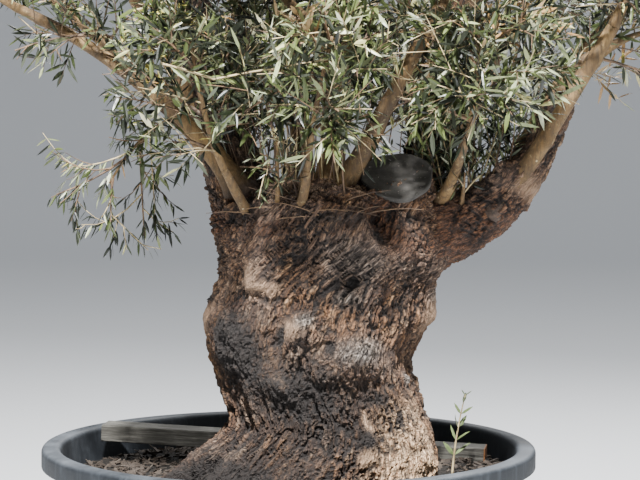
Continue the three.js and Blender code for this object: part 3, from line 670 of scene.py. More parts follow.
SIDE_FORMS = [
    (186, 957, 9, 9, 17), (190, 790, 11, 11, -11), (354, 915, 24, 18, 8), (348, 975, 22, 18, 6),
    (40, 640, 16, 50, -9), (120, 620, 18, 46, 9), (95, 820, 30, 14, -7), (65, 930, 24, 20, 9),
    (140, 930, 14, 44, -8),
]


def rows_at(heights):
    """The trunk's middle and half widths at some heights, on a smooth curve through the rows."""
    slopes = np.gradient(TRUNK[:, 1:], TRUNK[:, 0], axis=0, edge_order=1)
    k = np.clip(np.searchsorted(TRUNK[:, 0], heights, "right") - 1, 0, len(TRUNK) - 2)
    span = TRUNK[k + 1, 0] - TRUNK[k, 0]
    t = ((heights - TRUNK[k, 0]) / span)[:, None]
    low, high, span = TRUNK[k, 1:], TRUNK[k + 1, 1:], span[:, None]
    lower = (1 + 2 * t) * (1 - t) ** 2 * low + t * (1 - t) ** 2 * slopes[k] * span
    return lower + t * t * (3 - 2 * t) * high + t * t * (t - 1) * slopes[k + 1] * span


def smoothstep(values, low, high):
    t = np.clip((values - low) / (high - low), 0, 1)
    return t * t * (3 - 2 * t)


def seen(x, height):
    """Bearing of the spot on the near side that the viewer sees at x."""
    middle, _, half, _ = rows_at(np.array([float(height)]))[0]
    return 360 - math.degrees(math.acos(max(-1, min(1, (x - middle) / half))))


FORMS = BURRS + SIDE_FORMS + [(seen(x, height), height, *sizes) for x, height, *sizes in FRONT_FORMS]


def bump(angles, heights, bearing, height, across, up):
    turn = (angles - math.radians(bearing) + math.pi) % TURN - math.pi
    return np.exp(-((turn * TRUNK_GIRTH / across) ** 2) - ((heights - height) / up) ** 2)


def bark_relief(angles, heights):
    out = sum(depth * np.cos(count * angles + twist * heights) for count, depth, twist in FLUTES)
    return out + sum(o * bump(angles, heights, b, h, a, u) for b, h, a, u, o in FORMS)


heights = np.linspace(TRUNK_FOOT, TRUNK_TOP, TRUNK_RINGS + 1)
angles = np.arange(TRUNK_TURNS) / TRUNK_TURNS * TURN
middle_x, middle_y, half_x, half_y = rows_at(heights).T[:, :, None]
out = bark_relief(angles[None, :], heights[:, None]) * smoothstep(TRUNK_TOP - heights, 0, TOP_CALM)[:, None]
across, deep = middle_x + (half_x + out) * np.cos(angles), middle_y + (half_y + out) * np.sin(angles)
trunk_rings = np.stack([across, deep, np.repeat(heights[:, None], TRUNK_TURNS, axis=1)], axis=-1)
trunk_core = skin("trunk_core", trunk_rings * MM)
print("forms on the trunk", len(FORMS))

# %% [markdown]
# ### Limbs
# Every limb is a bent taper: a curve that starts in its parent, leans towards a knee and ends at a tip,
# with a radius at each end. The same few numbers are used for the rough old arms, the smooth young
# boughs and the twigs, so one function lays rings of points round any such curve.

# %% Paths of the limbs and rings round a path
LIMBS = {
    "arm_left": ("trunk", [(-56, -75, 1090), (-190, -20, 1330), (-232, 55, 1750)], (84, 27)),
    "arm_right": ("trunk", [(215, -95, 1060), (470, -110, 1110), (565, -100, 1380)], (90, 28)),
    "arm_back": ("trunk", [(250, 0, 1090), (300, 60, 1250), (400, 140, 1740)], (70, 25)),
    "bough_left": ("arm_left", [(-96, -118, 1175), (-252, -120, 1412), (-560, -95, 1552)], (24, 9)),
    "bough_left_inner": ("arm_left", [(-160, -30, 1320), (-250, -40, 1420), (-325, -60, 1580)], (17, 12)),
    "bough_left_back": ("arm_left", [(-150, 0, 1290), (-290, 110, 1400), (-490, 195, 1560)], (21, 12)),
    "bough_front_left": ("trunk", [(-70, -190, 1120), (-98, -240, 1170), (-125, -268, 1228)], (12, 8)),
    "bough_front_middle": ("trunk", [(20, -215, 1120), (32, -250, 1170), (38, -278, 1228)], (12, 8)),
    "bough_front_right": ("arm_right", [(306, -110, 1150), (345, -190, 1230), (358, -245, 1300)], (13, 8)),
    "bough_centre": ("trunk", [(68, -150, 1120), (180, -190, 1310), (305, -235, 1560)], (22, 12)),
    "bough_middle": ("trunk", [(80, -70, 1160), (95, -60, 1420), (75, -200, 1750)], (27, 15)),
    "bough_back_left": ("trunk", [(-40, 20, 1120), (-140, 170, 1290), (-290, 330, 1540)], (26, 14)),
    "bough_back": ("trunk", [(90, 40, 1130), (90, 190, 1200), (110, 370, 1370)], (27, 14)),
    "bough_back_upper": ("trunk", [(30, 10, 1150), (10, 150, 1440), (-55, 270, 1760)], (26, 14)),
    "bough_back_right": ("arm_back", [(292, 50, 1250), (390, 170, 1350), (480, 300, 1500)], (22, 13)),
    "bough_right_front": ("arm_right", [(430, -120, 1150), (545, -150, 1320), (655, -150, 1515)], (20, 13)),
    "bough_right_back": ("arm_right", [(440, -75, 1165), (490, -50, 1340), (700, 20, 1560)], (18, 12)),
    "bough_upper_right": ("arm_back", [(342, 90, 1480), (410, 20, 1600), (440, -50, 1775)], (18, 13)),
    "bough_front_upper": ("bough_middle", [(92, -98, 1440), (70, -170, 1490), (0, -235, 1560)], (13, 9)),
    "bough_top": ("bough_middle", [(92, -85, 1400), (130, 20, 1700), (70, 20, 2000)], (19, 12)),
}
ARMS = ("arm_left", "arm_right", "arm_back")
ARM_FLUTES = [(2, 0.09, 6), (3, 0.06, -9), (5, 0.04, 21)]  # count, depth, twist
STUB_ROOT, STUB_FACE, STUB_RADII = np.array((226, -66, 1085.0)), np.array((221, -163, 1211.0)), (92, 70)


def on_curve(path, t):
    a, b, c = (np.asarray(p, float) for p in path)
    t = np.asarray(t, float)[..., None]
    return (1 - t) ** 2 * a + 2 * t * (1 - t) * b + t * t * c


def along_curve(path, t):
    a, b, c = (np.asarray(p, float) for p in path)
    t = np.asarray(t, float)[..., None]
    direction = 2 * (1 - t) * (b - a) + 2 * t * (c - b)
    return direction / np.linalg.norm(direction, axis=-1, keepdims=True)


def frames(path, t):
    """Two directions square to the curve, which don't turn along it."""
    a, b, c = (np.asarray(p, float) for p in path)
    along = along_curve(path, t)
    side = np.cross(b - a, c - a)
    if np.linalg.norm(side) < 1:
        side = np.cross(b - a, (0.3, 1, 0.2))
    side = np.broadcast_to(side / np.linalg.norm(side), along.shape)
    return side, np.cross(along, side)


def rings_round(path, t, radii, sides):
    """Rings of points round a curve; radii is one value for each ring, or one for each point."""
    side, up = frames(path, t)
    turn = np.arange(sides) / sides * TURN
    radii = np.broadcast_to(np.asarray(radii, float).reshape(len(t), -1), (len(t), sides))[..., None]
    circle = np.cos(turn)[:, None] * side[:, None, :] + np.sin(turn)[:, None] * up[:, None, :]
    return on_curve(path, t)[:, None, :] + radii * circle


def old_radii(t, radii, turn):
    """Radii of an old arm, which isn't round."""
    taper = radii[0] + (radii[1] - radii[0]) * t**0.75
    swell = sum(depth * np.cos(count * turn + twist * t) for count, depth, twist in ARM_FLUTES)
    return taper * (1 + swell * (1 - 0.6 * t))


print("limbs", len(LIMBS))

# %% [markdown]
# ### Melting the parts into one trunk
# Where an arm leaves the trunk, the bark runs over from one to the other without a seam. A voxel remesh
# gives that: trunk, sawn stub and the first stretch of each arm overlap, and the remesh wraps one even
# skin round them. Only the corners between them are then relaxed, so the burrs stay crisp. Each arm
# goes on as a skin of its own, which comes out of its collar as the collar sinks into it.

# %% Remesh the trunk with its collars
VOXEL = 0.0043
COLLAR_END, COLLAR_SIDES, COLLAR_SINK, COLLAR_FLARE, FLARE_REACH = 0.34, 72, 0.35, 0.16, 0.16
STUB_SIDES = 64
SNAG = [(-112, -150, 1120), (-140, -175, 1165), (-168, -185, 1192)]  # a broken stump on the left shoulder
parts = [trunk_core]
for label in ARMS:
    _, path, radii = LIMBS[label]
    t = np.linspace(0, COLLAR_END, 50)
    turn = np.arange(COLLAR_SIDES) / COLLAR_SIDES * TURN
    sink = COLLAR_SINK * smoothstep(t, 0.45 * COLLAR_END, COLLAR_END)[:, None]
    flare = 1 + COLLAR_FLARE * np.exp(-((t / FLARE_REACH) ** 2))[:, None]
    widths = old_radii(t[:, None], radii, turn[None, :]) * flare * (1 - sink)
    parts.append(skin(label + "_collar", rings_round(path, t, widths, COLLAR_SIDES) * MM))
stub_path = [STUB_ROOT, (STUB_ROOT + STUB_FACE) / 2, STUB_FACE]
t = np.linspace(0, 1, 30)
turn = np.arange(STUB_SIDES) / STUB_SIDES * TURN
widths = (STUB_RADII[0] + (STUB_RADII[1] - STUB_RADII[0]) * t)[:, None] * (1 + 0.05 * np.cos(3 * turn + 1))
parts.append(skin("stub_core", rings_round(stub_path, t, widths, STUB_SIDES) * MM))
parts.append(skin("snag_core", rings_round(SNAG, np.linspace(0, 1, 8), np.linspace(15, 9, 8), 16) * MM))
trunk = joined(parts, "old_trunk")
remesh = trunk.modifiers.new("one skin", "REMESH")
remesh.mode, remesh.voxel_size = "VOXEL", VOXEL
trunk.data = evaluated(trunk)
print("remeshed trunk", triangles(trunk), "triangles")

# %% [markdown]
# ### Softening the corners
# The remesh leaves a crease where two parts meet, and grown bark has none. Points near such a crease are
# drawn towards their neighbours in a few rounds; all others hardly move.

# %% Relax the corners between trunk and arms
RELAX_ROUNDS, RELAX_ALL, RELAX_CORNER = 24, 0.12, 0.8
RELAX_LOW, RELAX_HIGH = 950, 1010  # the corners lie above this height


def nearest_on_arm(points, path, samples=60):
    """Share along the arm and distance from its axis, in millimetres, for each point."""
    t = np.linspace(0, 1, samples)
    axis = on_curve(path, t)
    apart = np.full(len(points), np.inf)
    share = np.zeros(len(points))
    for k in range(samples):
        distance = np.linalg.norm(points - axis[k], axis=1)
        closer = distance < apart
        apart[closer], share[closer] = distance[closer], t[k]
    return share, apart


def relax(points, edges, weights, rounds):
    """Draws each point towards the middle of its neighbours."""
    count = len(points)
    one, other = edges.T
    degree = np.bincount(edges.ravel(), minlength=count)[:, None]
    for _ in range(rounds):
        ahead = np.stack([np.bincount(one, points[other, c], count) for c in range(3)], axis=1)
        behind = np.stack([np.bincount(other, points[one, c], count) for c in range(3)], axis=1)
        points = points + weights[:, None] * ((ahead + behind) / degree - points)
    return points


skin_points = points_of(trunk)
edges = np.empty(len(trunk.data.edges) * 2, np.int32)
trunk.data.edges.foreach_get("vertices", edges)
millimetres = skin_points / MM
corner = np.zeros(len(skin_points))
for label in ARMS:
    _, path, radii = LIMBS[label]
    share, apart = nearest_on_arm(millimetres, path)
    near_skin = smoothstep(-np.abs(apart - radii[0] * 1.05), -46, -12)
    corner = np.maximum(corner, near_skin * smoothstep(-share, -0.2, -0.08))
share, apart = nearest_on_arm(millimetres, stub_path, 20)
near_skin = smoothstep(-np.abs(apart - STUB_RADII[0]), -34, -10)
corner = np.maximum(corner, near_skin * smoothstep(-share, -0.5, -0.3))
weights = RELAX_ALL + RELAX_CORNER * corner * smoothstep(millimetres[:, 2], RELAX_LOW, RELAX_HIGH)
skin_points = relax(skin_points, edges.reshape(-1, 2), weights, RELAX_ROUNDS)
trunk.data.vertices.foreach_set("co", skin_points.astype(np.float32).ravel())
trunk.data.update()
print("relaxed", int((corner > 0.5).sum()), "points")

# %% [markdown]
# ### The grain of the bark
# Olive bark splits into long narrow plates that follow the grain of the wood. A pattern that is simply
# wrapped on wouldn't flow round the flare and the arms, so each point of the skin gets its own
# coordinates: two across the grain, one along it. On the trunk they widen with the flare and lean
# towards the right arm in the upper half; on an arm they follow its axis.

# %% Store grain coordinates and tints on the skin
LEAN_START, LEAN_FULL, LEAN = 930, 1090, 0.62
GRAIN_TOP, GRAIN_HALVES, ARM_GRAIN_START, TINT_GAIN = 1130, (220, 185), 400, 1.25


def trunk_grain(points):
    x, y, z = points.T
    middle_x, middle_y, half_x, half_y = rows_at(np.clip(z, TRUNK_FOOT, GRAIN_TOP)).T
    lean = LEAN * (smoothstep(z, LEAN_START, LEAN_FULL) * (z - LEAN_START))
    across = (x - middle_x) * GRAIN_HALVES[0] / half_x - lean
    return np.stack([across, (y - middle_y) * GRAIN_HALVES[1] / half_y, z], axis=1) * MM


def arm_grain(points, path, share):
    side, up = frames(path, share)
    off = points - on_curve(path, share)
    length = np.linalg.norm(np.diff(on_curve(path, np.linspace(0, 1, 40)), axis=0), axis=1).sum()
    along = share * length + (off * along_curve(path, share)).sum(1)
    return np.stack([(off * side).sum(1) + ARM_GRAIN_START, (off * up).sum(1), along], axis=1) * MM


millimetres = points_of(trunk) / MM
grain_on_trunk = trunk_grain(millimetres)
grain_on_arm = np.zeros_like(grain_on_trunk)
arm_share = np.zeros(len(millimetres))
for label in ARMS:
    _, path, radii = LIMBS[label]
    share, apart = nearest_on_arm(millimetres, path, 160)
    weight = smoothstep(share, 0.10, 0.24) * smoothstep(-apart, -radii[0] * 1.6, -radii[0] * 1.25)
    closer = weight > arm_share
    grain_on_arm[closer] = arm_grain(millimetres, path, share)[closer]
    arm_share = np.maximum(arm_share, weight)
store(trunk, "grain", grain_on_trunk)
store(trunk, "arm_grain", grain_on_arm)
store(trunk, "arm_share", arm_share)

# kind: bearing, height, half size across, half size up, strength
TINTS = {
    "tan": [
        (181, 914, 34, 40, 1.1), (352, 925, 46, 40, 1.0), (seen(-62, 1016), 1010, 17, 36, 0.8),
        (seen(-36, 990), 990, 22, 16, 0.8), (seen(8, 912), 912, 26, 22, 0.8),
        (seen(-12, 804), 804, 17, 17, 1), (seen(157, 654), 654, 15, 17, 1),
        (seen(-20, 880), 846, 30, 18, 0.3), (205, 1010, 40, 60, 0.5), (30, 900, 50, 60, 0.7),
        (95, 1020, 44, 44, 0.7),
    ],
    "rust_and_bounce_light": [
        (seen(200, 1135), 1140, 30, 46, 0.8), (seen(215, 1075), 1075, 60, 30, 0.5), (335, 1080, 60, 34, 0.8),
        (200, 1118, 50, 36, 0.8), (seen(60, 770), 770, 60, 18, 0.5), (seen(-60, 1120), 1120, 60, 30, 0.4),
        (222, 965, 50, 20, 0.5),
    ],
    "pale": [
        # the small pale spot at x 33, height 930 is a painted highlight on a knob
        (seen(140, 872), 866, 50, 30, 0.7), (seen(33, 928), 930, 18, 14, 1), (352, 962, 40, 30, 0.6),
        (seen(120, 975), 972, 26, 22, 0.5), (seen(238, 800), 800, 14, 14, 0.7),
        (seen(130, 1050), 1050, 90, 60, 0.35),
    ],
    # painted sunlight: a bright warm patch on the lower root, where the sun falls on fibrous bark
    "fibre": [(322, 660, 78, 80, 1), (seen(258, 610), 610, 64, 44, 1), (seen(200, 590), 588, 50, 22, 0.7)],
    "chip": [(seen(163, 722), 724, 7, 20, 1), (seen(171, 703), 702, 6, 14, 1)],
    # painted shade: dark patches over the deeper hollows, the lower front of the trunk and the left burr,
    # where shade falls
    "painted_shade": [
        (seen(189, 1098), 1096, 14, 14, 1), (seen(86, 872), 874, 9, 15, 0.8),
        (seen(-16, 896), 900, 10, 20, 0.7), (seen(128, 1004), 1004, 8, 7, 1), (186, 957, 11, 11, 1),
        (190, 790, 10, 10, 1), (seen(94, 1128), 1132, 70, 20, 0.6), (seen(165, 690), 690, 26, 20, 0.6),
        (seen(30, 760), 770, 150, 100, 0.74), (seen(-60, 640), 590, 140, 56, 0.7), (214, 880, 60, 90, 0.55),
        (seen(-90, 860), 880, 60, 70, 0.5), (205, 600, 150, 60, 0.55), (seen(-90, 1130), 1136, 60, 20, 0.6),
        (seen(185, 770), 770, 30, 20, 0.5),
    ],
}
x, y, z = millimetres.T
middle_x, middle_y, half_x, half_y = rows_at(np.clip(z, TRUNK_FOOT, TRUNK_TOP)).T
bearings = np.arctan2((y - middle_y) / half_y, (x - middle_x) / half_x)
for kind, places in TINTS.items():
    share = sum(s * bump(bearings, z, b, h, a, u) for b, h, a, u, s in places)
    store(trunk, kind, np.clip(share * TINT_GAIN, 0, 1) * (1 - arm_share))
print("tints", {kind: len(places) for kind, places in TINTS.items()})

# %% [markdown]
# ### Plates and crevices
# The relief itself is a rule, so Geometry Nodes carry it. A Voronoi pattern, stretched along the grain
# and warped a little, cuts the bark into plates; the distance to a plate's edge opens a crevice round
# it. A second, finer pattern cracks the plates, and soft noise makes them uneven. The depth is moved
# along the surface normal, and the crevices and each plate's tone are stored for the colours.

# %% Build the bark relief tree
TRUNK_WARP, ARM_WARP = 0.030, 0.024
BARK_SIZES = {
    "Plate Width": 0.0115, "Plate Length": 0.056, "Crevice Depth": 0.0085, "Crack Depth": 0.002,
    "Lump Height": 0.013, "Fibre Depth": 0.011,
}


def plates(plan, grain, warp):
    """Distance to the crevice, plate tone, distance to a fine crack and fibres, for grain coordinates."""
    along = plan.named(grain, "FLOAT_VECTOR")
    sway = plan.vector("SUBTRACT", plan.noise(along, 24.0, 6.0, 0.62, "Color"), (0.5, 0.5, 0.5))
    moved = plan.vector("ADD", along, plan.vector("SCALE", sway, warp))
    size = plan.xyz(plan.need["Plate Width"], plan.need["Plate Width"], plan.need["Plate Length"])
    scaled = plan.vector("DIVIDE", moved, size)
    edge, fine = (plan.cells(scaled, scale, feature="DISTANCE_TO_EDGE") for scale in (1.0, 2.3))
    tone = plan.axis(plan.cells(scaled, 1.0, "Color"), "X")
    fibres = plan.noise(plan.vector("MULTIPLY", moved, (1.0, 1.0, 0.14)), 105.0, 3.0, 0.6)
    return edge, tone, fine, fibres


relief = Growth("bark_relief", BARK_SIZES)
need, share = relief.need, relief.named("arm_share")
both = zip(plates(relief, "grain", TRUNK_WARP), plates(relief, "arm_grain", ARM_WARP))
edge, tone, fine, fibres = (relief.mix(share, on_trunk, on_arm, "FLOAT") for on_trunk, on_arm in both)
position = relief.add("GeometryNodeInputPosition").outputs[0]
smooth_bark = relief.plus(relief.named("tan"), relief.named("chip"), use_clamp=True)
patchy = relief.between(relief.noise(position, 9.0), 0.32, 0.62, 0.55, 1.15)
roughness = relief.times(patchy, relief.mix(smooth_bark, 1.0, 0.22, "FLOAT"))
crevice = relief.times(relief.between(edge, 0.0, 0.22, 1, 0), roughness)
crack = relief.times(relief.between(fine, 0.0, 0.16, 1, 0), roughness)
opened = relief.times(crevice, relief.times(need["Crevice Depth"], -1.0))
cracked = relief.times(crack, relief.times(need["Crack Depth"], -1.0))
uneven = relief.times(relief.minus(tone, 0.5), relief.times(roughness, 0.004))
lumps = relief.minus(relief.noise(position, 17.0, 5.0, 0.55), 0.5)
raised = relief.times(lumps, relief.times(need["Lump Height"], 2.0))
strands = relief.times(relief.minus(fibres, 0.5), relief.times(roughness, need["Fibre Depth"]))
depth = relief.plus(relief.plus(opened, cracked), relief.plus(relief.plus(raised, strands), uneven))
fixed_foot = relief.between(relief.axis(position, "Z"), 0.5725, 0.578)
normal = relief.add("GeometryNodeInputNormal").outputs[0]
offset = relief.vector("SCALE", normal, relief.times(depth, fixed_foot))
kept = need["Geometry"]
for name, value in {"crevice": crevice, "crack": crack, "tone": tone, "strand": fibres}.items():
    kept = relief.kept(kept, name, value)
relief.finish(relief.add("GeometryNodeSetPosition", {"Geometry": kept, "Offset": offset}).outputs["Geometry"])
print("bark relief tree", len(relief.tree.nodes), "nodes")

# %% [markdown]
# ### Old olive bark
# Old olive bark is dull and dry: grey-brown plates, tan where a burr has burst the plates open, and rusty
# in the hollows. Painted shade darkens its crevices almost to black and lies in patches over the deeper
# hollows and the lower front; the bright warm patch on the lower root is painted sunlight on fibrous bark.
# The tints that were stored on the skin are mixed over one base colour, each broken up by noise so
# that no edge looks painted.

# %% Mix the old bark
PLAIN = [(0.24, "#241913"), (0.42, "#4f3b2e"), (0.58, "#78614f"), (0.8, "#aa947f")]
WARM = [(0.24, "#27180e"), (0.42, "#583a22"), (0.58, "#815a37"), (0.8, "#b08a5e")]
# near black, laid in the crevices, cracks and flake edges as painted shade
PAINTED_RECESS_SHADE = "#140e0b"
TINT_TONES = {
    "rust_and_bounce_light": ("#3a2013", "#7c5234"),
    "pale": ("#5c524a", "#aaa095"),
    "tan": ("#5c4636", "#a0846a"),
    # painted sunlight: warm, nearly white colours for the sunlit patch on the lower root
    "fibre": ("#9c6c45", "#ffe0b8"),
    "chip": ("#b68a66", "#e8c8a6"),
    # painted shade: near black browns for the patches where shade falls
    "painted_shade": ("#120d0a", "#241c17"),
}
paint = Finish("dry_old_olive_bark")
broad, mottle = paint.noise(paint.place, 7, 4, 0.6), paint.noise(paint.place, 70, 6, 0.75)
on_arm = paint.times(paint.stored("arm_share"), 0.5, "GREATER_THAN")
grain = paint.mix(on_arm, paint.stored("grain", "Vector"), paint.stored("arm_grain", "Vector"), "VECTOR")
swayed = paint.vector("MULTIPLY_ADD", paint.noise(grain, 60, 5, 0.65, "Color"), (0.012, 0.012, 0.02), grain)
flakes = paint.vector("MULTIPLY", swayed, (190, 190, 30))
flake_edge, flake_tone = paint.cells(flakes, 1, feature="DISTANCE_TO_EDGE"), paint.cells(flakes, 1, "Color")
fibre = paint.noise(paint.stretched(grain, (1, 1, 0.22)), 260, 4, 0.7)
plate_tone = paint.times(paint.stored("tone"), 0.22)
for value, weight in ((mottle, 0.5), (paint.stored("strand"), 0.45), (flake_tone, 0.22)):
    plate_tone = paint.plus(plate_tone, paint.times(value, weight))
plate_tone = paint.minus(plate_tone, 0.2)
warm = paint.between(broad, 0.42, 0.62, 0, 0.8)
colour = paint.mix(warm, paint.ramp(plate_tone, *PLAIN), paint.ramp(plate_tone, *WARM))
# Among these tints are painted shade over the hollows and the lower front, and painted sunlight on the lower
# root.
for kind, (low, high) in TINT_TONES.items():
    share = paint.times(paint.stored(kind), paint.between(mottle, 0.3, 0.6, 0.65, 1.25))
    colour = paint.mix(paint.between(share, 0.1, 0.9), colour, paint.ramp(fibre, (0.3, low), (0.7, high)))
# Painted shade: the flake edges, cracks and crevices are darkened towards near black, as shade in the
# recesses.
flake_dark = paint.between(flake_edge, 0.02, 0.18, 0.95, 0)
flake_dark = paint.times(flake_dark, paint.between(paint.stored("tan"), 0.2, 0.9, 1, 0.25))
colour = paint.mix(paint.times(flake_dark, paint.between(mottle, 0.35, 0.6, 0.5, 1)), colour, PAINTED_RECESS_SHADE)
colour = paint.mix(paint.times(paint.stored("crack"), 0.5), colour, PAINTED_RECESS_SHADE)
colour = paint.mix(paint.between(paint.stored("crevice"), 0.25, 0.85, 0, 0.97), colour, PAINTED_RECESS_SHADE)
height = paint.plus(paint.times(fibre, 0.6), paint.times(mottle, 0.6))
height = paint.plus(height, paint.between(flake_edge, 0, 0.25, 0, 0.5))
height = paint.plus(height, paint.times(flake_tone, 0.25))
old_bark = paint.coat(colour, 0.9, (height, 0.9, 0.004))
trunk.data = relief.settle(trunk)
dress(trunk, old_bark, "old_bark", "trunk")

# %% [markdown]
# ### The rough arms
# Three old arms were cut back and have grown on. Above its collar each is a plain tapering skin, fine
# enough to take the same relief, with smaller plates because younger bark splits less deeply.

# %% Grow the rough arms
ARM_SIDES, ARM_STATIONS, ARM_START, LUMP_SPREAD = 84, 190, 0.06, 0.55
ARM_FORMS = {  # share along the arm, bearing, reach, how far out
    "arm_right": [(0.62, 5.4, 0.035, 20), (0.50, 0.6, 0.06, 12), (0.74, 2.6, 0.05, 10)],
    "arm_left": [(0.35, 2.4, 0.05, 12)],
    "arm_back": [(0.5, 4, 0.06, 12)],
}
ARM_SIZES = {"Plate Width": 0.012, "Plate Length": 0.036, "Crevice Depth": 0.0055, "Lump Height": 0.007}
for label in ARMS:
    _, path, radii = LIMBS[label]
    t = np.linspace(ARM_START, 1, ARM_STATIONS)
    turn = np.arange(ARM_SIDES) / ARM_SIDES * TURN
    widths = old_radii(t[:, None], radii, turn[None, :])
    for share, bearing, reach, out in ARM_FORMS[label]:
        around = (turn[None, :] - bearing + math.pi) % TURN - math.pi
        widths = widths + out * np.exp(-(((t[:, None] - share) / reach) ** 2) - (around / LUMP_SPREAD) ** 2)
    widths *= 1 - 0.3 * smoothstep(-t, -0.14, -0.06)[:, None]
    widths *= 1 - 0.55 * smoothstep(t, 0.985, 1)[:, None]
    arm = skin("old_" + label, rings_round(path, t, widths, ARM_SIDES) * MM)
    millimetres = points_of(arm) / MM
    share, _ = nearest_on_arm(millimetres, path, 160)
    grain = arm_grain(millimetres, path, share)
    store(arm, "grain", grain)
    store(arm, "arm_grain", grain)
    tints = dict.fromkeys(("arm_share", *TINTS), np.zeros(len(millimetres)))
    if label == "arm_right":  # orange below as painted bounce light, and worn tan on the outside of its largest lump
        outside = millimetres[:, 0] > on_curve(path, share)[:, 0]
        # painted bounce light: the arm's lower stretch takes the orange tint
        tints["rust_and_bounce_light"] = 0.75 * smoothstep(-millimetres[:, 2], -1240, -1120)
        tints["tan"] = 0.8 * np.exp(-(((share - 0.62) / 0.06) ** 2)) * outside
    for kind, values in tints.items():
        store(arm, kind, values)
    arm.data = relief.settle(arm, **ARM_SIZES)
    dress(arm, old_bark, "old_bark", label)

# %% [markdown]
# ### The sealed cut
# One thick limb was sawn off long ago and the wound was painted with a black sealant. The face is flat,
# matt and nearly black, with a low lip where the bark has begun to roll over its edge, and a few pale
# specks.

# %% Seal the sawn face
CUT_SIDES, CUT_ROUGH = 72, 0.8
CUT_PROFILE = [  # reach, how far out
    (72, -6), (73, 2.5), (70.5, 4.5), (67, 3.6), (63, 2.6), (50, 2.2), (34, 2.6), (18, 2.3), (6, 2.4),
]
cut_normal = (STUB_FACE - STUB_ROOT) / np.linalg.norm(STUB_FACE - STUB_ROOT)
cut_side = np.cross(cut_normal, (0, 0, 1.0))
cut_side /= np.linalg.norm(cut_side)
cut_up = np.cross(cut_side, cut_normal)
cut_rings = []
for reach, out in CUT_PROFILE:
    ring = []
    for angle in ring_of(CUT_SIDES):
        across, up = math.cos(angle), math.sin(angle)
        wavy = 1 + 0.035 * math.cos(3 * angle + 1) + 0.02 * math.cos(7 * angle)
        rough = CUT_ROUGH * noise.noise(Vector((reach * 0.06 * across, reach * 0.06 * up, 2)))
        flat = STUB_FACE + reach * wavy * (across * cut_side + up * -cut_up)
        ring.append(flat + cut_normal * (out + rough))
    cut_rings.append(ring)
sealed_cut = skin("sealed_cut", np.array(cut_rings) * MM)
paint = Finish("black_wound_sealant")
mottle, specks = paint.noise(paint.place, 40, 6, 0.7), paint.noise(paint.place, 190)
charcoal = paint.ramp(mottle, (0.3, "#262421"), (0.7, "#474440"))
speckled = paint.mix(paint.between(specks, 0.68, 0.74, 0, 0.8), charcoal, "#8f8a82")
dress(sealed_cut, paint.coat(speckled, 0.88, (mottle, 0.5, 0.002)), "old_bark")

# %% [markdown]
# ## The young boughs
# After a hard pruning an olive throws smooth straight boughs from its old wood. They swell where they
# leave it, and small knots mark the twigs that were rubbed off. Each is one round tapering skin along
# its path, and goes on as the stem of the foliage that it carries, so no joint shows at its tip.

# %% List the masses of foliage and test the space that each may fill
MASSES = {  # carrier (a limb, or a spot and a direction on the bark), middle, half sizes, shoots
    "foliage_left": ("bough_left", (-680, -110, 1680), (230, 230, 190), 5),
    "foliage_left_inner": ("bough_left_inner", (-380, -130, 1710), (200, 200, 180), 5),
    "foliage_left_back": ("bough_left_back", (-590, 240, 1700), (230, 220, 190), 5),
    "foliage_front_left": ("bough_front_left", (-165, -335, 1395), (180, 165, 205), 6),
    "foliage_front_middle": ("bough_front_middle", (70, -375, 1400), (175, 160, 200), 6),
    "foliage_front_right": ("bough_front_right", (365, -345, 1430), (195, 165, 190), 6),
    "foliage_front_upper": ("bough_front_upper", (-60, -350, 1660), (220, 180, 160), 5),
    "foliage_centre": ("bough_centre", (300, -340, 1690), (210, 200, 180), 5),
    "foliage_right_low": ("arm_right", (690, -80, 1470), (150, 120, 140), 6),
    "foliage_right_front": ("bough_right_front", (720, -210, 1680), (210, 200, 180), 5),
    "foliage_right": ("bough_right_back", (840, 100, 1690), (220, 230, 190), 5),
    "foliage_back_right": ("bough_back_right", (560, 400, 1640), (240, 220, 200), 5),
    "foliage_back": ("bough_back", (130, 520, 1530), (240, 210, 210), 5),
    "foliage_back_left": ("bough_back_left", (-330, 430, 1690), (240, 220, 200), 5),
    "foliage_upper_left": ("arm_left", (-340, 60, 1940), (280, 260, 220), 5),
    "foliage_upper_front": ("bough_middle", (20, -310, 1920), (270, 240, 220), 5),
    "foliage_upper_right": ("bough_upper_right", (500, -140, 1950), (270, 250, 220), 5),
    "foliage_upper_back_right": ("arm_back", (480, 280, 1910), (260, 250, 220), 4),
    "foliage_upper_back": ("bough_back_upper", (-30, 390, 1930), (280, 240, 220), 4),
    "foliage_top": ("bough_top", (70, 30, 2170), (340, 320, 210), 6),
    "foliage_hanging": (((-222, -116, 1329), (-0.9, -0.2, -0.2)), (-315, -150, 1240), (175, 90, 190), 5),
    "foliage_fork": (((-20, -215, 1150), (0, -0.5, 0.86)), (-20, -295, 1240), (90, 75, 95), 5),
    "foliage_burr_sprout": (((352, -138, 1150), (0.1, -0.6, 0.8)), (354, -180, 1203), (54, 48, 50), 4),
    "foliage_inner_left": (((8, -92, 1204), (-0.28, -0.05, 0.96)), (-55, -95, 1430), (150, 130, 165), 5),
    "foliage_inner_right": (((150, -62, 1204), (0.35, 0.02, 0.93)), (265, -70, 1430), (140, 125, 160), 5),
    "foliage_left_low": (((-340, -121, 1437), (-0.45, -0.45, 0.77)), (-410, -175, 1505), (155, 130, 115), 5),
}
WEEPING = "foliage_hanging"
MIDDLES = np.array([mass[1] for mass in MASSES.values()], float)
HALVES = np.array([mass[2] for mass in MASSES.values()], float)
GOLDEN_ANGLE, SPACE_MARGIN, LIMB_CLEARANCE, TRUNK_CLEARANCE, SMALL_MASS = 2.39996, 0.02, 8, 34, 130
LIMB_LINES = [(on_curve(path, np.linspace(0, 1, 13)), radii) for _, path, radii in LIMBS.values()]


def depth_in(index, points):
    return np.linalg.norm((points - MIDDLES[index]) / HALVES[index], axis=-1)


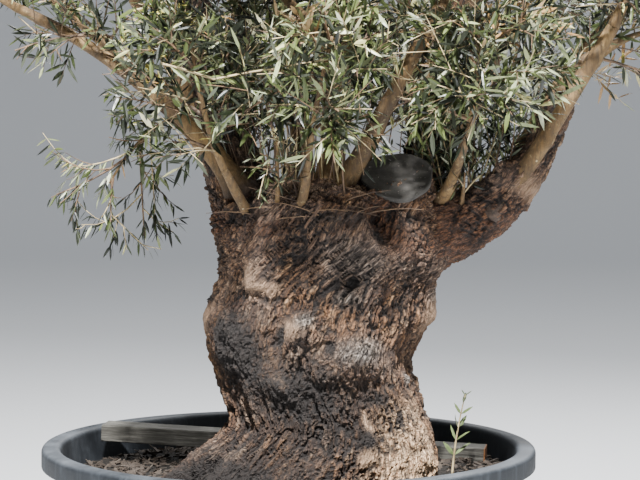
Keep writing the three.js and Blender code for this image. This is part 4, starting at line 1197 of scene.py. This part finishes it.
def is_free(index, points, clearance=LIMB_CLEARANCE, reach=1.0):
    """True where a point lies in the mass's own space and clear of the trunk and of every limb."""
    points = np.asarray(points, float)
    depth = depth_in(index, points)
    free = depth <= reach
    for other in range(len(MIDDLES)):
        if other != index:
            free &= depth + SPACE_MARGIN < depth_in(other, points)
    x, y, z = np.moveaxis(points, -1, 0)
    form = rows_at(np.clip(z.ravel(), TRUNK_FOOT, TRUNK_TOP)).reshape(z.shape + (4,))
    across = (x - form[..., 0]) / (form[..., 2] + TRUNK_CLEARANCE)
    deep = (y - form[..., 1]) / (form[..., 3] + TRUNK_CLEARANCE)
    free &= (np.hypot(across, deep) > 1) | (z > TRUNK_TOP + LIMB_CLEARANCE)
    for line, radii in LIMB_LINES:
        low, high = line.min(0) - 100, line.max(0) + 100
        near = free & ((points > low) & (points < high)).all(-1)
        if not near.any():
            continue
        close = points[near]
        clear = np.ones(len(close), bool)
        for k in range(len(line) - 1):
            step = line[k + 1] - line[k]
            t = np.clip(((close - line[k]) @ step) / (step @ step), 0, 1)
            radius = radii[0] + (radii[1] - radii[0]) * (k + t) / (len(line) - 1)
            clear &= np.linalg.norm(close - line[k] - t[:, None] * step, axis=1) > radius + clearance
        free[near] = clear
    return free


def in_box(points, allowance):
    """True where a point lies in the CAD model's box, or no further outside it than the allowance."""
    return ((points > CAD_LOW / MM - allowance) & (points < CAD_HIGH / MM + allowance)).all(-1)


print("masses", len(MASSES))

# %% [markdown]
# ### Stems and shoots
# Each mass has one stem and a few shoots. They follow the rule of the CAD source, with the same row of
# random numbers, so the leaves hang where the solid masses are.

# %% Grow the stems and shoots by the seeded rule
def seeded(seed):
    """The same row of random numbers as the CAD source has."""
    state = seed

    def draw():
        nonlocal state
        state = (state * 1664525 + 1013904223) % 4294967296
        return state / 4294967296

    return draw


def free_share(index, path, steps, start):
    free = is_free(index, on_curve(path, np.arange(start, steps + 1) / steps))
    return 1.0 if free.all() else (start + int(np.argmin(free)) - 1) / steps


def part_of(path, share):
    a, b, c = path
    knee = a + (b - a) * share
    return [a, knee, knee + (b + (c - b) * share - knee) * share]


def square_to(along, turn):
    side = np.cross(along, (0, 0, 1.0) if abs(along[2]) < 0.9 else (1.0, 0, 0))
    side /= np.linalg.norm(side)
    return side * math.cos(turn) + np.cross(side, along) * math.sin(turn)


def to_edge(index, point, direction):
    reach = np.arange(0, 710, 10)
    outside = depth_in(index, point + reach[:, None] * direction) >= 1
    return float(reach[np.argmax(outside)]) if outside.any() else 700.0


def stem_and_shoots(index, name):
    """The mass's stem, its radius and its shoots, exactly as in the CAD source."""
    carrier, middle, _, count = MASSES[name]
    middle = np.array(middle, float)
    if isinstance(carrier, str):
        _, path, radii = LIMBS[carrier]
        along = along_curve(path, 1.0)
        root, radius = on_curve(path, 1.0) + along * 0.3, radii[1]
    else:
        root, along, radius = np.array(carrier[0], float), np.array(carrier[1], float), 6
        along /= np.linalg.norm(along)
    knee = root + along * 0.6 * np.linalg.norm(middle - root)
    stem = [root, knee, middle + (middle - root) * 0.5]
    stem = part_of(stem, max(0.4, free_share(index, stem, 12, 4)))
    random = seeded(101 + 17 * index)
    shoots = []
    for k in range(count):
        share = 0.16 + 0.8 * k / (count - 1)
        start, along = on_curve(stem, share), along_curve(stem, share)
        lean, out = math.radians(4 + 58 * share), square_to(along, k * GOLDEN_ANGLE + 0.5 * random())
        direction = out * math.cos(lean) + along * math.sin(lean)
        direction /= np.linalg.norm(direction)
        length = (0.8 + 0.14 * random()) * to_edge(index, start, direction)
        lift, droop = (-0.25 * length, 0.3 * length) if name == WEEPING else (0.1 * length, 0)
        knee = start + direction * 0.5 * length + (0, 0, lift)
        whole = [start, knee, start + direction * length - (0, 0, droop)]
        share = free_share(index, whole, 12, 2)
        if share >= 0.3:
            shoots.append(part_of(whole, share))
    return stem, radius, shoots


growth = {name: stem_and_shoots(index, name) for index, name in enumerate(MASSES)}
small_share = {name: min(1, max(0.42, min(mass[2]) / SMALL_MASS)) for name, mass in MASSES.items()}
print("shoots", sum(len(shoots) for _, _, shoots in growth.values()))

# %% [markdown]
# ### Skins with knots
# A bough is no plain cone: it swells at its foot, bends a little and has knots where twigs were rubbed
# off. The same kind of skin is laid round boughs and stems, with a fixed seed for the knots.

# %% Skin the boughs and the stems that they turn into
STEM_TIP, KNOT_REACH, KNOT_SPREAD, KNOT_HEIGHT = 3.2, 13, 0.6, 0.32
chance = np.random.default_rng(41)


def knotty_skin(name, path, radii, sides, steps, flare, knots, rooted):
    """A limb's skin; it starts a few millimetres back along its curve, inside the wood that it grows from."""
    length = np.linalg.norm(np.diff(on_curve(path, np.linspace(0, 1, 30)), axis=0), axis=1).sum()
    t = np.linspace(-rooted / length, 1, steps)
    turn = np.arange(sides) / sides * TURN
    widths = (radii[0] + (radii[1] - radii[0]) * t)[:, None] * np.ones(sides)
    widths *= 1 + 0.05 * np.cos(2 * turn + 9 * t[:, None]) * (radii[0] > 8)
    foot = np.exp(-np.maximum(t, 0) * length / (1.3 * radii[0]))
    widths *= 1 + flare * foot[:, None] * (1 + 0.25 * np.cos(3 * turn + 8 * radii[0]))
    for _ in range(knots):
        place, bearing = chance.uniform(0.15, 0.95), chance.uniform(0, TURN)
        around = (turn - bearing + math.pi) % TURN - math.pi
        near = np.exp(-(((t[:, None] - place) * length / KNOT_REACH) ** 2) - (around / KNOT_SPREAD) ** 2)
        widths += KNOT_HEIGHT * radii[1] * near
    sway = chance.uniform(-1, 1, 3) * 0.05 * length
    bend = np.sin(t * math.pi * 2)[:, None] * sway * 0.25 * (radii[0] > 8)
    made = skin(name, (rings_round(path, t, widths, sides) + bend[:, None, :]) * MM)
    flared = flare > 0
    store(made, "foot", np.append(np.repeat(foot * flared, sides), (flared, 0)))
    return made


bough_names = [name for name in LIMBS if name.startswith("bough")]
bough_parts = [knotty_skin(name, *LIMBS[name][1:], 22, 48, 0.8, 5, 26) for name in bough_names]
for name, (stem, radius, _) in growth.items():
    flare, rooted = (0, 0.3) if isinstance(MASSES[name][0], str) else (0.5, 12)
    radii = (radius, STEM_TIP * small_share[name])
    bough_parts.append(knotty_skin(name + "_stem", stem, radii, 10, 16, flare, 2, rooted))
boughs = joined(bough_parts, "smooth_boughs")
print("boughs and stems", len(bough_parts))

# %% [markdown]
# ### Smooth olive bark
# Young olive bark is thin and smooth, tan to grey-green, with faint streaks along the bough, small pale
# scars and a little grey bloom. Where a bough leaves the old wood, its foot is dark like the old bark.

# %% Mix the smooth bark
paint = Finish("smooth_young_olive_bark")
broad, mottle = paint.noise(paint.place, 13, 5, 0.6), paint.noise(paint.place, 95, 5, 0.7)
streak = paint.noise(paint.stretched(paint.place, (1, 1, 0.16)), 170, 4, 0.6)
tan = paint.ramp(broad, (0.3, "#36281a"), (0.5, "#634c2d"), (0.72, "#886c42"))
tan = paint.mix(paint.between(streak, 0.42, 0.66, 0, 0.75), tan, "#352a1b")
tan = paint.mix(paint.between(mottle, 0.56, 0.72, 0, 0.5), tan, "#978866")
tan = paint.mix(paint.between(paint.cells(paint.place, 34), 0.05, 0.11, 0.75, 0), tan, "#b6a684")
at_foot = paint.times(paint.stored("foot"), paint.between(mottle, 0.3, 0.65, 0.6, 1.3))
old_skin = paint.ramp(mottle, (0.35, "#1e1610"), (0.65, "#57463a"))
tan = paint.mix(paint.between(at_foot, 0.2, 0.75), tan, old_skin)
height = paint.plus(streak, paint.times(mottle, 0.5))
smooth_bark = paint.coat(tan, paint.between(mottle, 0.3, 0.7, 0.72, 0.92), (height, 0.8, 0.003))
dress(boughs, smooth_bark, "smooth_bark", *bough_names)

# %% [markdown]
# ## Twigs
# The crown's finer twigs carry the same rule two steps further: every shoot bears branchlets by the
# golden angle, and each branchlet bears whips. A twig is cut where it would leave its mass's space or
# touch a limb. Only paths are worked out here; Geometry Nodes turn them into three-sided twigs.

# %% Branch the shoots twice more
BRANCHLET = (42, (130, 270), (32, 68))  # spacing, shortest and longest, least and most lean in degrees
WHIP = (46, (70, 170), (28, 60))
# fine twigs may pass a mass's edge by a share and the CAD box by some millimetres
OUTER_REACH, TWIG_ALLOWANCE, SHORTEST_TWIG = 1.1, 10, 30
NEAR_MASSES = (
    "foliage_front_left", "foliage_front_middle", "foliage_front_right", "foliage_fork",
    "foliage_burr_sprout", "foliage_inner_left", "foliage_inner_right",
)
LOOSE, BARE, DEAD = len(MASSES), 2.0, 3.0  # the mass number of stray twigs, and what stands for no leaves
twigs = []  # (path, radius at its root, radius at its tip, mass, spray, leafy from this share)
sprays = 0


def child_paths(index, parents, kind, small, apart, lift, generator):
    """Side twigs of some parents, cut where they stop being free, and the parent of each."""
    spacing, (shortest, longest), lean_range = kind
    made, owners = [], []
    for owner, path in enumerate(parents):
        line = on_curve(path, np.linspace(0, 1, 9))
        length = np.linalg.norm(np.diff(line, axis=0), axis=1).sum()
        count = int(length / (spacing * apart) + generator.uniform(0.2, 0.9))
        twist = generator.uniform(0, TURN)
        for k in range(count):
            share = 0.14 + 0.84 * (k + generator.uniform(0.1, 0.9)) / count
            start, along = on_curve(path, share), along_curve(path, share)
            lean = math.radians(generator.uniform(*lean_range))
            direction = along * math.cos(lean) + square_to(along, twist + k * GOLDEN_ANGLE) * math.sin(lean)
            reach = generator.uniform(shortest * small, longest * small) * (1.1 - 0.45 * share)
            tip = start + direction * reach + (0, 0, lift * reach * generator.uniform(-0.6, 1))
            whole = [start, start + direction * 0.5 * reach + (0, 0, 0.5 * lift * reach), tip]
            line = on_curve(whole, np.arange(1, 9) / 8)
            free = is_free(index, line, reach=OUTER_REACH) & in_box(line, TWIG_ALLOWANCE)
            cut = 1.0 if free.all() else int(np.argmin(free)) / 8
            if cut * reach > SHORTEST_TWIG:
                made.append(part_of(whole, cut))
                owners.append(owner)
    return made, owners


for index, (name, (stem, radius, shoots)) in enumerate(growth.items()):
    generator = np.random.default_rng(900 + index)
    lift = -0.35 if name == WEEPING else 0.12
    apart = 1.2 if name == WEEPING else 0.62 if name in NEAR_MASSES else 0.95
    manner = (small_share[name], apart, lift, generator)
    branchlets, _ = child_paths(index, [part_of(stem, 1.0)] + shoots, BRANCHLET, *manner)
    whips, owners = child_paths(index, branchlets, WHIP, *manner)
    thick, thin = 4.6 * small_share[name], 1.9 * small_share[name]
    twigs += [(path, thick, thin, index, sprays + k % 5, 0.45) for k, path in enumerate(shoots)]
    twigs += [(path, 2.0, 0.9, index, sprays + k, 0.22) for k, path in enumerate(branchlets)]
    twigs += [(path, 1.25, 0.7, index, sprays + owner, 0.12) for path, owner in zip(whips, owners)]
    sprays += max(len(branchlets), 5)
print("twigs by the rule", len(twigs))

# %% [markdown]
# ### Stray shoots
# An old olive sprouts from its fork, too. Bare shoots stand round it, leafy ones fill the crown behind it
# and stand along the old limbs, and dead twigs lie on the trunk's brow. One long pale twig crosses the
# near side of the crown.

# %% Add the stray shoots
BARE_SHOOTS, LEAFY_SHOOTS, DEAD_TWIGS = 64, 168, 12
LEAFY_LIMBS = ("arm_right", "arm_back", "arm_left", "bough_back_left", "arm_right", "bough_back_upper")
LONG_TWIG = [(-239, -440, 1434), (-138, -441, 1404), (-11, -445, 1427), (103, -450, 1446), (311, -440, 1461)]
CUT_CLEARANCE = 84
for k in range(BARE_SHOOTS):
    bearing, reach = math.radians(generator.uniform(175, 365)), generator.uniform(0.3, 0.93)
    outward = np.array((math.cos(bearing), math.sin(bearing), 0))
    root = outward * (205 * reach, 165 * reach, 0) + (79, -80, 1196 - 58 * reach**4)
    rise = generator.uniform(90, 300)
    tip = root + (0, 0, rise) + outward * rise * generator.uniform(0.05, 0.5) + generator.normal(0, 22, 3)
    knee = (root + tip) / 2 + generator.normal(0, 9, 3) - outward * 0.06 * rise
    whole = [root - (0, 0, 12), knee, tip]
    if np.linalg.norm(on_curve(whole, np.linspace(0.2, 1, 7)) - STUB_FACE, axis=1).min() > CUT_CLEARANCE:
        twigs.append((whole, generator.uniform(1.3, 3.2), 0.9, LOOSE, sprays + k % 9, BARE))
for k in range(LEAFY_SHOOTS):
    _, path, radii = LIMBS[LEAFY_LIMBS[k % len(LEAFY_LIMBS)]]
    share, turn = generator.uniform(0.12, 0.62), generator.uniform(0, TURN)
    outward = np.array((0.5 * math.cos(turn), 0.3 + 0.5 * math.sin(turn), 0.5))
    root = on_curve(path, share) + outward * (radii[0] + (radii[1] - radii[0]) * share)
    rise = generator.uniform(110, 250)
    tip = root + (generator.uniform(-0.4, 0.4) * rise, generator.uniform(-0.1, 0.5) * rise, rise)
    knee = (root + tip) / 2 + generator.normal(0, 10, 3)
    twigs.append(([root, knee, tip], generator.uniform(1.6, 3.0), 0.9, LOOSE, sprays + k % 9, 0.25))
for k in range(DEAD_TWIGS):
    x, height, side = generator.uniform(-60, 200), generator.uniform(1128, 1168), generator.choice((-1, 1))
    middle, centre, half, depth = rows_at(np.array([height]))[0]
    front = centre - depth * math.sqrt(max(0.05, 1 - ((x - middle) / half) ** 2))
    root, length = np.array((x, front + 16, height)), generator.uniform(50, 120)
    tip = root + (side * length, generator.uniform(-34, -14), generator.uniform(-0.2, 0.45) * length)
    knee = (root + tip) / 2 + (0, -14, generator.uniform(0, 14))
    twigs.append(([root, knee, tip], generator.uniform(1.1, 2.2), 0.6, LOOSE, sprays + k % 9, DEAD))
front_mass = list(MASSES).index("foliage_front_left")
for k in range(len(LONG_TWIG) - 1):
    a, b = np.array(LONG_TWIG[k], float), np.array(LONG_TWIG[k + 1], float)
    index = front_mass + (a[0] > -40) + (a[0] > 200)
    twigs.append(([a, (a + b) / 2 + (0, 0, 3), b], 3.1 - 0.5 * k, 2.6 - 0.5 * k, index, sprays + 9, 0.05))
sprays += 10
print("twigs", len(twigs), "sprays", sprays)

# %% [markdown]
# ### Round twigs
# Up to here the thousands of twigs are only paths. Geometry Nodes lay a small triangle round each path, as
# wide as the number on its points says, which is much quicker than a skin for each.

# %% Make the twigs with Geometry Nodes
def round_twigs(material):
    plan = Growth("round_twigs", {"Thickness": 1.0})
    lines = plan.add("GeometryNodeMeshToCurve", {"Mesh": plan.need["Geometry"]}).outputs["Curve"]
    ring = plan.add("GeometryNodeCurvePrimitiveCircle", {"Resolution": 3, "Radius": 1.0}).outputs["Curve"]
    width = plan.times(plan.named("width"), plan.need["Thickness"])
    inputs = {"Curve": lines, "Profile Curve": ring, "Scale": width, "Fill Caps": True}
    plan.finish_real(plan.add("GeometryNodeCurveToMesh", inputs).outputs["Mesh"], material)
    return plan


def twig_bark(name, dark, light):
    paint = Finish(name)
    mottle, fine = paint.noise(paint.place, 30, 4), paint.noise(paint.place, 700)
    return paint.coat(paint.ramp(mottle, (0.35, dark), (0.65, light)), 0.7, (fine, 0.4, 0.0006))


def twig_piece(name, chosen, material):
    points, links, widths = [], [], []
    for path, thick, thin, *_ in chosen:
        length = np.linalg.norm(np.asarray(path[2]) - path[0])
        count = 3 + int(length > 120) + 2 * int(length > 220)
        t = np.linspace(0, 1, count + 1)
        start = len(widths)
        points += [tuple(point) for point in on_curve(path, t) * MM]
        widths += list((thick + (thin - thick) * t) * MM)
        links += [(start + k, start + k + 1) for k in range(count)]
    mesh = bpy.data.meshes.new(name)
    mesh.from_pydata(points, links, [])
    lines = placed(name, mesh)
    store(lines, "width", widths)
    lines.data = round_twigs(material).settle(lines)
    return lines


pale_twig = twig_bark("pale_young_twig", "#7a6a4b", "#c0ae84")
brown_twig = twig_bark("brown_olive_twig", "#3a2c22", "#735a40")
groups = {"pale": [], "brown": []}
for k, twig in enumerate(twigs):
    _, thick, _, _, spray, bare = twig
    young = (spray * 7 + k) % 10 < 4 and thick < 3 and bare < DEAD
    groups["pale" if young or spray == sprays - 1 else "brown"].append(twig)
dress(twig_piece("brown_twigs", groups["brown"], brown_twig), None, "smooth_bark", *MASSES)
dress(twig_piece("pale_twigs", groups["pale"], pale_twig), None, "smooth_bark")

# %% [markdown]
# ## Leaves
# Olive leaves are narrow and leathery, and here 32 to 57 mm long. They sit in opposite pairs, are dull
# grey-green above and silvery beneath, and their edges roll down a little. Tens of thousands are needed,
# so each has only twelve triangles, and all of them are worked out at once as arrays: eight upper faces
# over a raised midrib and four lower ones. Their colours are dealt out by spray: the dark leaves deep and
# low in the crown are painted shade, the pale ones at its outside painted sunlight, and a few are about to
# fall.

# %% Set leaf pairs along the twigs
LEAF_PITCH, LEAF_LENGTHS, LEAF_ALLOWANCE, MISSING_LEAVES = 12.0, (32, 57), 24, 0.06
LAST_SPREAD, SPREAD, TURN_WANDER = (14, 30), (32, 62), 0.3
LEAF_LIFT, WEEPING_DROP, LEAF_FACES, FACE_WANDER = (-0.04, 0.14), 0.85, (0, -0.25, 0.9), 0.62
SEAL_CLEARANCE, HIDDEN_SHARE = 80, 0.85
OPEN_BOUGHS = {  # first and last share along the bough, half width
    "bough_centre": (0.05, 0.85, 27),
    "bough_left": (0.0, 0.95, 26),
    "bough_right_front": (0.1, 0.6, 24),
}
generator = np.random.default_rng(77)


def unit(vectors):
    return vectors / np.maximum(np.linalg.norm(vectors, axis=-1, keepdims=True), 1e-9)


def hides_bough(points):
    """True where a point hangs before one of the boughs that the picture shows free of leaves."""
    hidden = np.zeros(len(points), bool)
    for label, (first, last, width) in OPEN_BOUGHS.items():
        for x, y, z in on_curve(LIMBS[label][1], np.linspace(first, last, 16)):
            hidden |= (np.hypot(points[:, 0] - x, points[:, 2] - z) < width) & (points[:, 1] < y)
    return hidden


def leaf_set(roots, alongs, lengths, faces_up):
    """What places some leaves: root, direction, direction across, direction up, length."""
    across = unit(np.cross(faces_up, alongs))
    return roots, alongs, across, np.cross(alongs, across), lengths


roots, alongs, masses, spray_of = [], [], [], []
for path, _, _, index, spray, bare in twigs:
    if bare > 1:
        continue
    length = np.linalg.norm(np.diff(on_curve(path, np.linspace(0, 1, 6)), axis=0), axis=1).sum()
    count = max(1, int(length * (1 - bare) / LEAF_PITCH))
    shares = bare + (1 - bare) * (np.arange(count) + 1) / count
    spots, directions = on_curve(path, shares), along_curve(path, shares)
    quarter = generator.uniform(0, TURN)
    for k in range(count):
        for side in (0, math.pi):
            if generator.uniform() < MISSING_LEAVES:
                continue
            spread = math.radians(generator.uniform(*(LAST_SPREAD if k == count - 1 else SPREAD)))
            turn = quarter + k * math.pi / 2 + side + generator.uniform(-TURN_WANDER, TURN_WANDER)
            out = square_to(directions[k], turn)
            roots.append(spots[k])
            alongs.append(directions[k] * math.cos(spread) + out * math.sin(spread))
            masses.append(index)
            spray_of.append(spray)
roots, alongs, masses, spray_of = (np.array(values) for values in (roots, alongs, masses, spray_of))
alongs = unit(alongs)
count = len(roots)
lengths = generator.uniform(*LEAF_LENGTHS, count)
lengths *= np.append(np.clip(HALVES.min(1) / SMALL_MASS, 0.6, 1), 0.7)[masses]
drop = WEEPING_DROP * (masses == list(MASSES).index(WEEPING))[:, None]
alongs = unit(alongs + (0, 0, 1) * (generator.normal(*LEAF_LIFT, (count, 1)) - drop))
faces_up = unit(np.array(LEAF_FACES) + generator.normal(0, FACE_WANDER, (count, 3)))
leaves = leaf_set(roots, alongs, lengths, faces_up)
middles, tips = roots + alongs * lengths[:, None] / 2, roots + alongs * lengths[:, None]
keep = np.zeros(count, bool)
for index in range(len(MASSES)):
    chosen = np.flatnonzero(masses == index)
    if len(chosen):
        free = is_free(index, tips[chosen], 3, OUTER_REACH + 0.05)
        free &= is_free(index, (roots[chosen] + tips[chosen]) / 2, 2, OUTER_REACH + 0.05)
        keep[chosen] = in_box(tips[chosen], LEAF_ALLOWANCE) & free
loose = masses == LOOSE
off_seal = np.linalg.norm(middles[loose] - STUB_FACE, axis=1) > SEAL_CLEARANCE
keep[loose] = in_box(middles[loose], 0) & off_seal
keep &= ~(hides_bough(middles) & (generator.uniform(0, 1, count) < HIDDEN_SHARE))
print("leaves", int(keep.sum()), "of", count)

# %% [markdown]
# ### The shape of a leaf
# A leaf has eight corners: its two ends, two pairs on its edges and two on the midrib, which stands a
# little higher. Each leaf is arched by chance and set up in its own three directions.

# %% Build the leaves from arrays
OLD_SHAPE, YOUNG_SHAPE = 0.168, 0.25  # width for the length; young leaves are broader
# share of the length, share of half the width, height of the midrib as a share of the width
CORNERS = np.array([
    (0, 0, 0), (0.30, 1, 0), (0.30, 0, 0.16), (0.30, -1, 0),
    (0.68, 0.86, 0), (0.68, 0, 0.14), (0.68, -0.86, 0), (1, 0, 0),
])
UPPER_FACES = [(0, 3, 2), (0, 2, 1), (3, 6, 5), (3, 5, 2), (2, 5, 4), (2, 4, 1), (6, 7, 5), (5, 7, 4)]
LOWER_FACES = [(0, 1, 3), (1, 4, 6), (1, 6, 3), (4, 7, 6)]


def leaf_points(leaves, shape):
    roots, alongs, across, ups, lengths = leaves
    size = lengths[:, None, None]
    width = size * shape * generator.uniform(0.85, 1.15, (len(roots), 1, 1))
    arch = generator.normal(-0.05, 0.07, (len(roots), 1))
    along, side, height = CORNERS.T
    bent = arch * along**2
    spots = roots[:, None, :] + alongs[:, None, :] * size * along[:, None]
    spots = spots + across[:, None, :] * width * 0.5 * side[:, None]
    return spots + ups[:, None, :] * (width * height[:, None] + size * bent[..., None])


def leaf_piece(name, leaves, shape, upper, lower):
    count = len(leaves[0])
    faces = np.arange(count)[:, None, None] * len(CORNERS) + np.array(UPPER_FACES + LOWER_FACES)
    piece = mesh_object(name, leaf_points(leaves, shape) * MM, faces.reshape(-1, 3), smooth=False)
    piece.data.materials.append(upper)
    piece.data.materials.append(lower)
    side = np.tile([0] * len(UPPER_FACES) + [1] * len(LOWER_FACES), count).astype(np.int32)
    piece.data.polygons.foreach_set("material_index", side)
    dress(piece, None, "leaf")


# %% [markdown]
# ### Leaf skins
# The upper skin is waxy and takes a soft shine; the lower one is matted with tiny scales that scatter
# light, so it is paler and dull. Leaves are thin enough to glow a little when they are lit from behind,
# but here each side stays opaque, with its own plain colour.

# %% Mix the leaf colours and deal them out by spray
PIECE_LEAVES, SAME_AS_SPRAY = 16000, 0.6
# The darker colours take a larger share deep and low in the crown as painted shade, the paler ones a larger
# share at its outside as painted sunlight.
LEAF_COLOURS = {  # upper skin, lower skin, share deep in the crown, share at its outside
    "dark": ("#11160a", "#33382a", 0.59, 0.32),
    "grey_green": ("#2e361a", "#5e6545", 0.27, 0.31),
    "soft_green": ("#515b31", "#898f66", 0.08, 0.18),
    "silver": ("#838a69", "#c2c5a9", 0.040, 0.114),
    "pale": ("#a5a26e", "#d5d2ab", 0.010, 0.060),
    "yellowing": ("#a3994a", "#bdb582", 0.004, 0.007),
    "dry": ("#8a6b42", "#a58c66", 0.006, 0.009),
}


def leaf_skin(name, colour, roughness):
    paint = Finish(name)
    shade = paint.between(paint.noise(paint.place, 26), 0.3, 0.7, 0.82, 1.2)
    lighter = paint.add("ShaderNodeHueSaturation", {"Color": colour, "Value": shade}).outputs["Color"]
    return paint.coat(lighter, roughness, (paint.noise(paint.place, 500), 0.25, 0.0005), IOR=1.45)


outside = np.array([depth_in(mass, root) if mass < LOOSE else 0 for mass, root in zip(masses, roots)])
spray_depth = np.bincount(spray_of, outside, sprays) / np.maximum(np.bincount(spray_of, minlength=sprays), 1)
spray_draw = generator.uniform(0, 1, sprays)
as_spray = generator.uniform(0, 1, count) < SAME_AS_SPRAY
draw = np.where(as_spray, spray_draw[spray_of], generator.uniform(0, 1, count))
# painted light: sprays far out and high in the crown take more of the pale colours as painted sunlight, those
# deep and low more of the dark ones as painted shade
painted_sun_share = smoothstep(spray_depth[spray_of], 0.45, 0.85) * smoothstep(roots[:, 2], 1120, 1460)
limit = np.zeros(count)
taken = np.zeros(count, bool)
for label, (upper, lower, inner_share, outer_share) in LEAF_COLOURS.items():
    limit = limit + inner_share + (outer_share - inner_share) * painted_sun_share
    chosen = np.flatnonzero(keep & ~taken & (draw < limit if label != "dry" else True))
    taken[chosen] = True
    skins = leaf_skin(f"waxy_{label}_leaf", upper, 0.36), leaf_skin(f"scaly_{label}_underside", lower, 0.8)
    for part, first in enumerate(range(0, len(chosen), PIECE_LEAVES)):
        some = chosen[first : first + PIECE_LEAVES]
        leaf_piece(f"{label}_leaves_{part + 1}", [values[some] for values in leaves], OLD_SHAPE, *skins)

# %% [markdown]
# ## The root sucker
# A young shoot stands up from the soil beside the trunk, as olives often do, with a few small fresh leaves.

# %% Grow the root sucker
SUCKER_ROOT, SUCKER_LEAN, SUCKER_HEIGHT, SUCKER_SINK = (344, -42), (26, -6), 174, 6
SUCKER_PAIRS = [(0.26, 44), (0.44, 40), (0.60, 38), (0.76, 32), (0.90, 26), (0.99, 17)]  # share, length
ground = 1000 * soil_height(SUCKER_ROOT[0] * MM, SUCKER_ROOT[1] * MM)
root = np.array([*SUCKER_ROOT, ground - SUCKER_SINK])
tip = root + (*SUCKER_LEAN, SUCKER_HEIGHT)
sucker_path = [root, (root + tip) / 2 + (-8, 0, 0), tip]
sucker_stem = knotty_skin("sucker_stem", sucker_path, (2.6, 1.1), 8, 14, 0.2, 0, 0)
dress(sucker_stem, pale_twig, "smooth_bark", "root_sucker")
roots, alongs, lengths, faces_up = [], [], [], []
for k, (share, length) in enumerate(SUCKER_PAIRS):
    along = along_curve(sucker_path, share)
    for side in (0, math.pi):
        roots.append(on_curve(sucker_path, share))
        alongs.append(along * 0.72 + square_to(along, side + 1.2 + k * 1.3) * 0.7)
        lengths.append(length * generator.uniform(0.85, 1.1))
        faces_up.append((generator.normal(0, 0.5), -0.6, 0.8))
fresh = leaf_set(np.array(roots), unit(np.array(alongs)), np.array(lengths), np.array(faces_up))
skins = leaf_skin("waxy_fresh_leaf", "#596640", 0.42), leaf_skin("scaly_fresh_underside", "#8f977a", 0.8)
leaf_piece("sucker_leaves", fresh, YOUNG_SHAPE, *skins)

# %% [markdown]
# ## Size
# The boxes of the CAD model and of the dressed tree are set side by side, and the shown triangles are
# counted. The dressed tree has to keep to the size of the CAD model.

# %% Set both sizes side by side and count the triangles
seen_low, seen_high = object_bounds()
sizes = {"cad": [list(CAD_LOW), list(CAD_HIGH)], "visual": [list(seen_low), list(seen_high)]}
shown = [thing for thing in bpy.data.objects if thing.type == "MESH" and not thing.hide_render]
print("all triangles", sum(triangles(thing) for thing in shown))
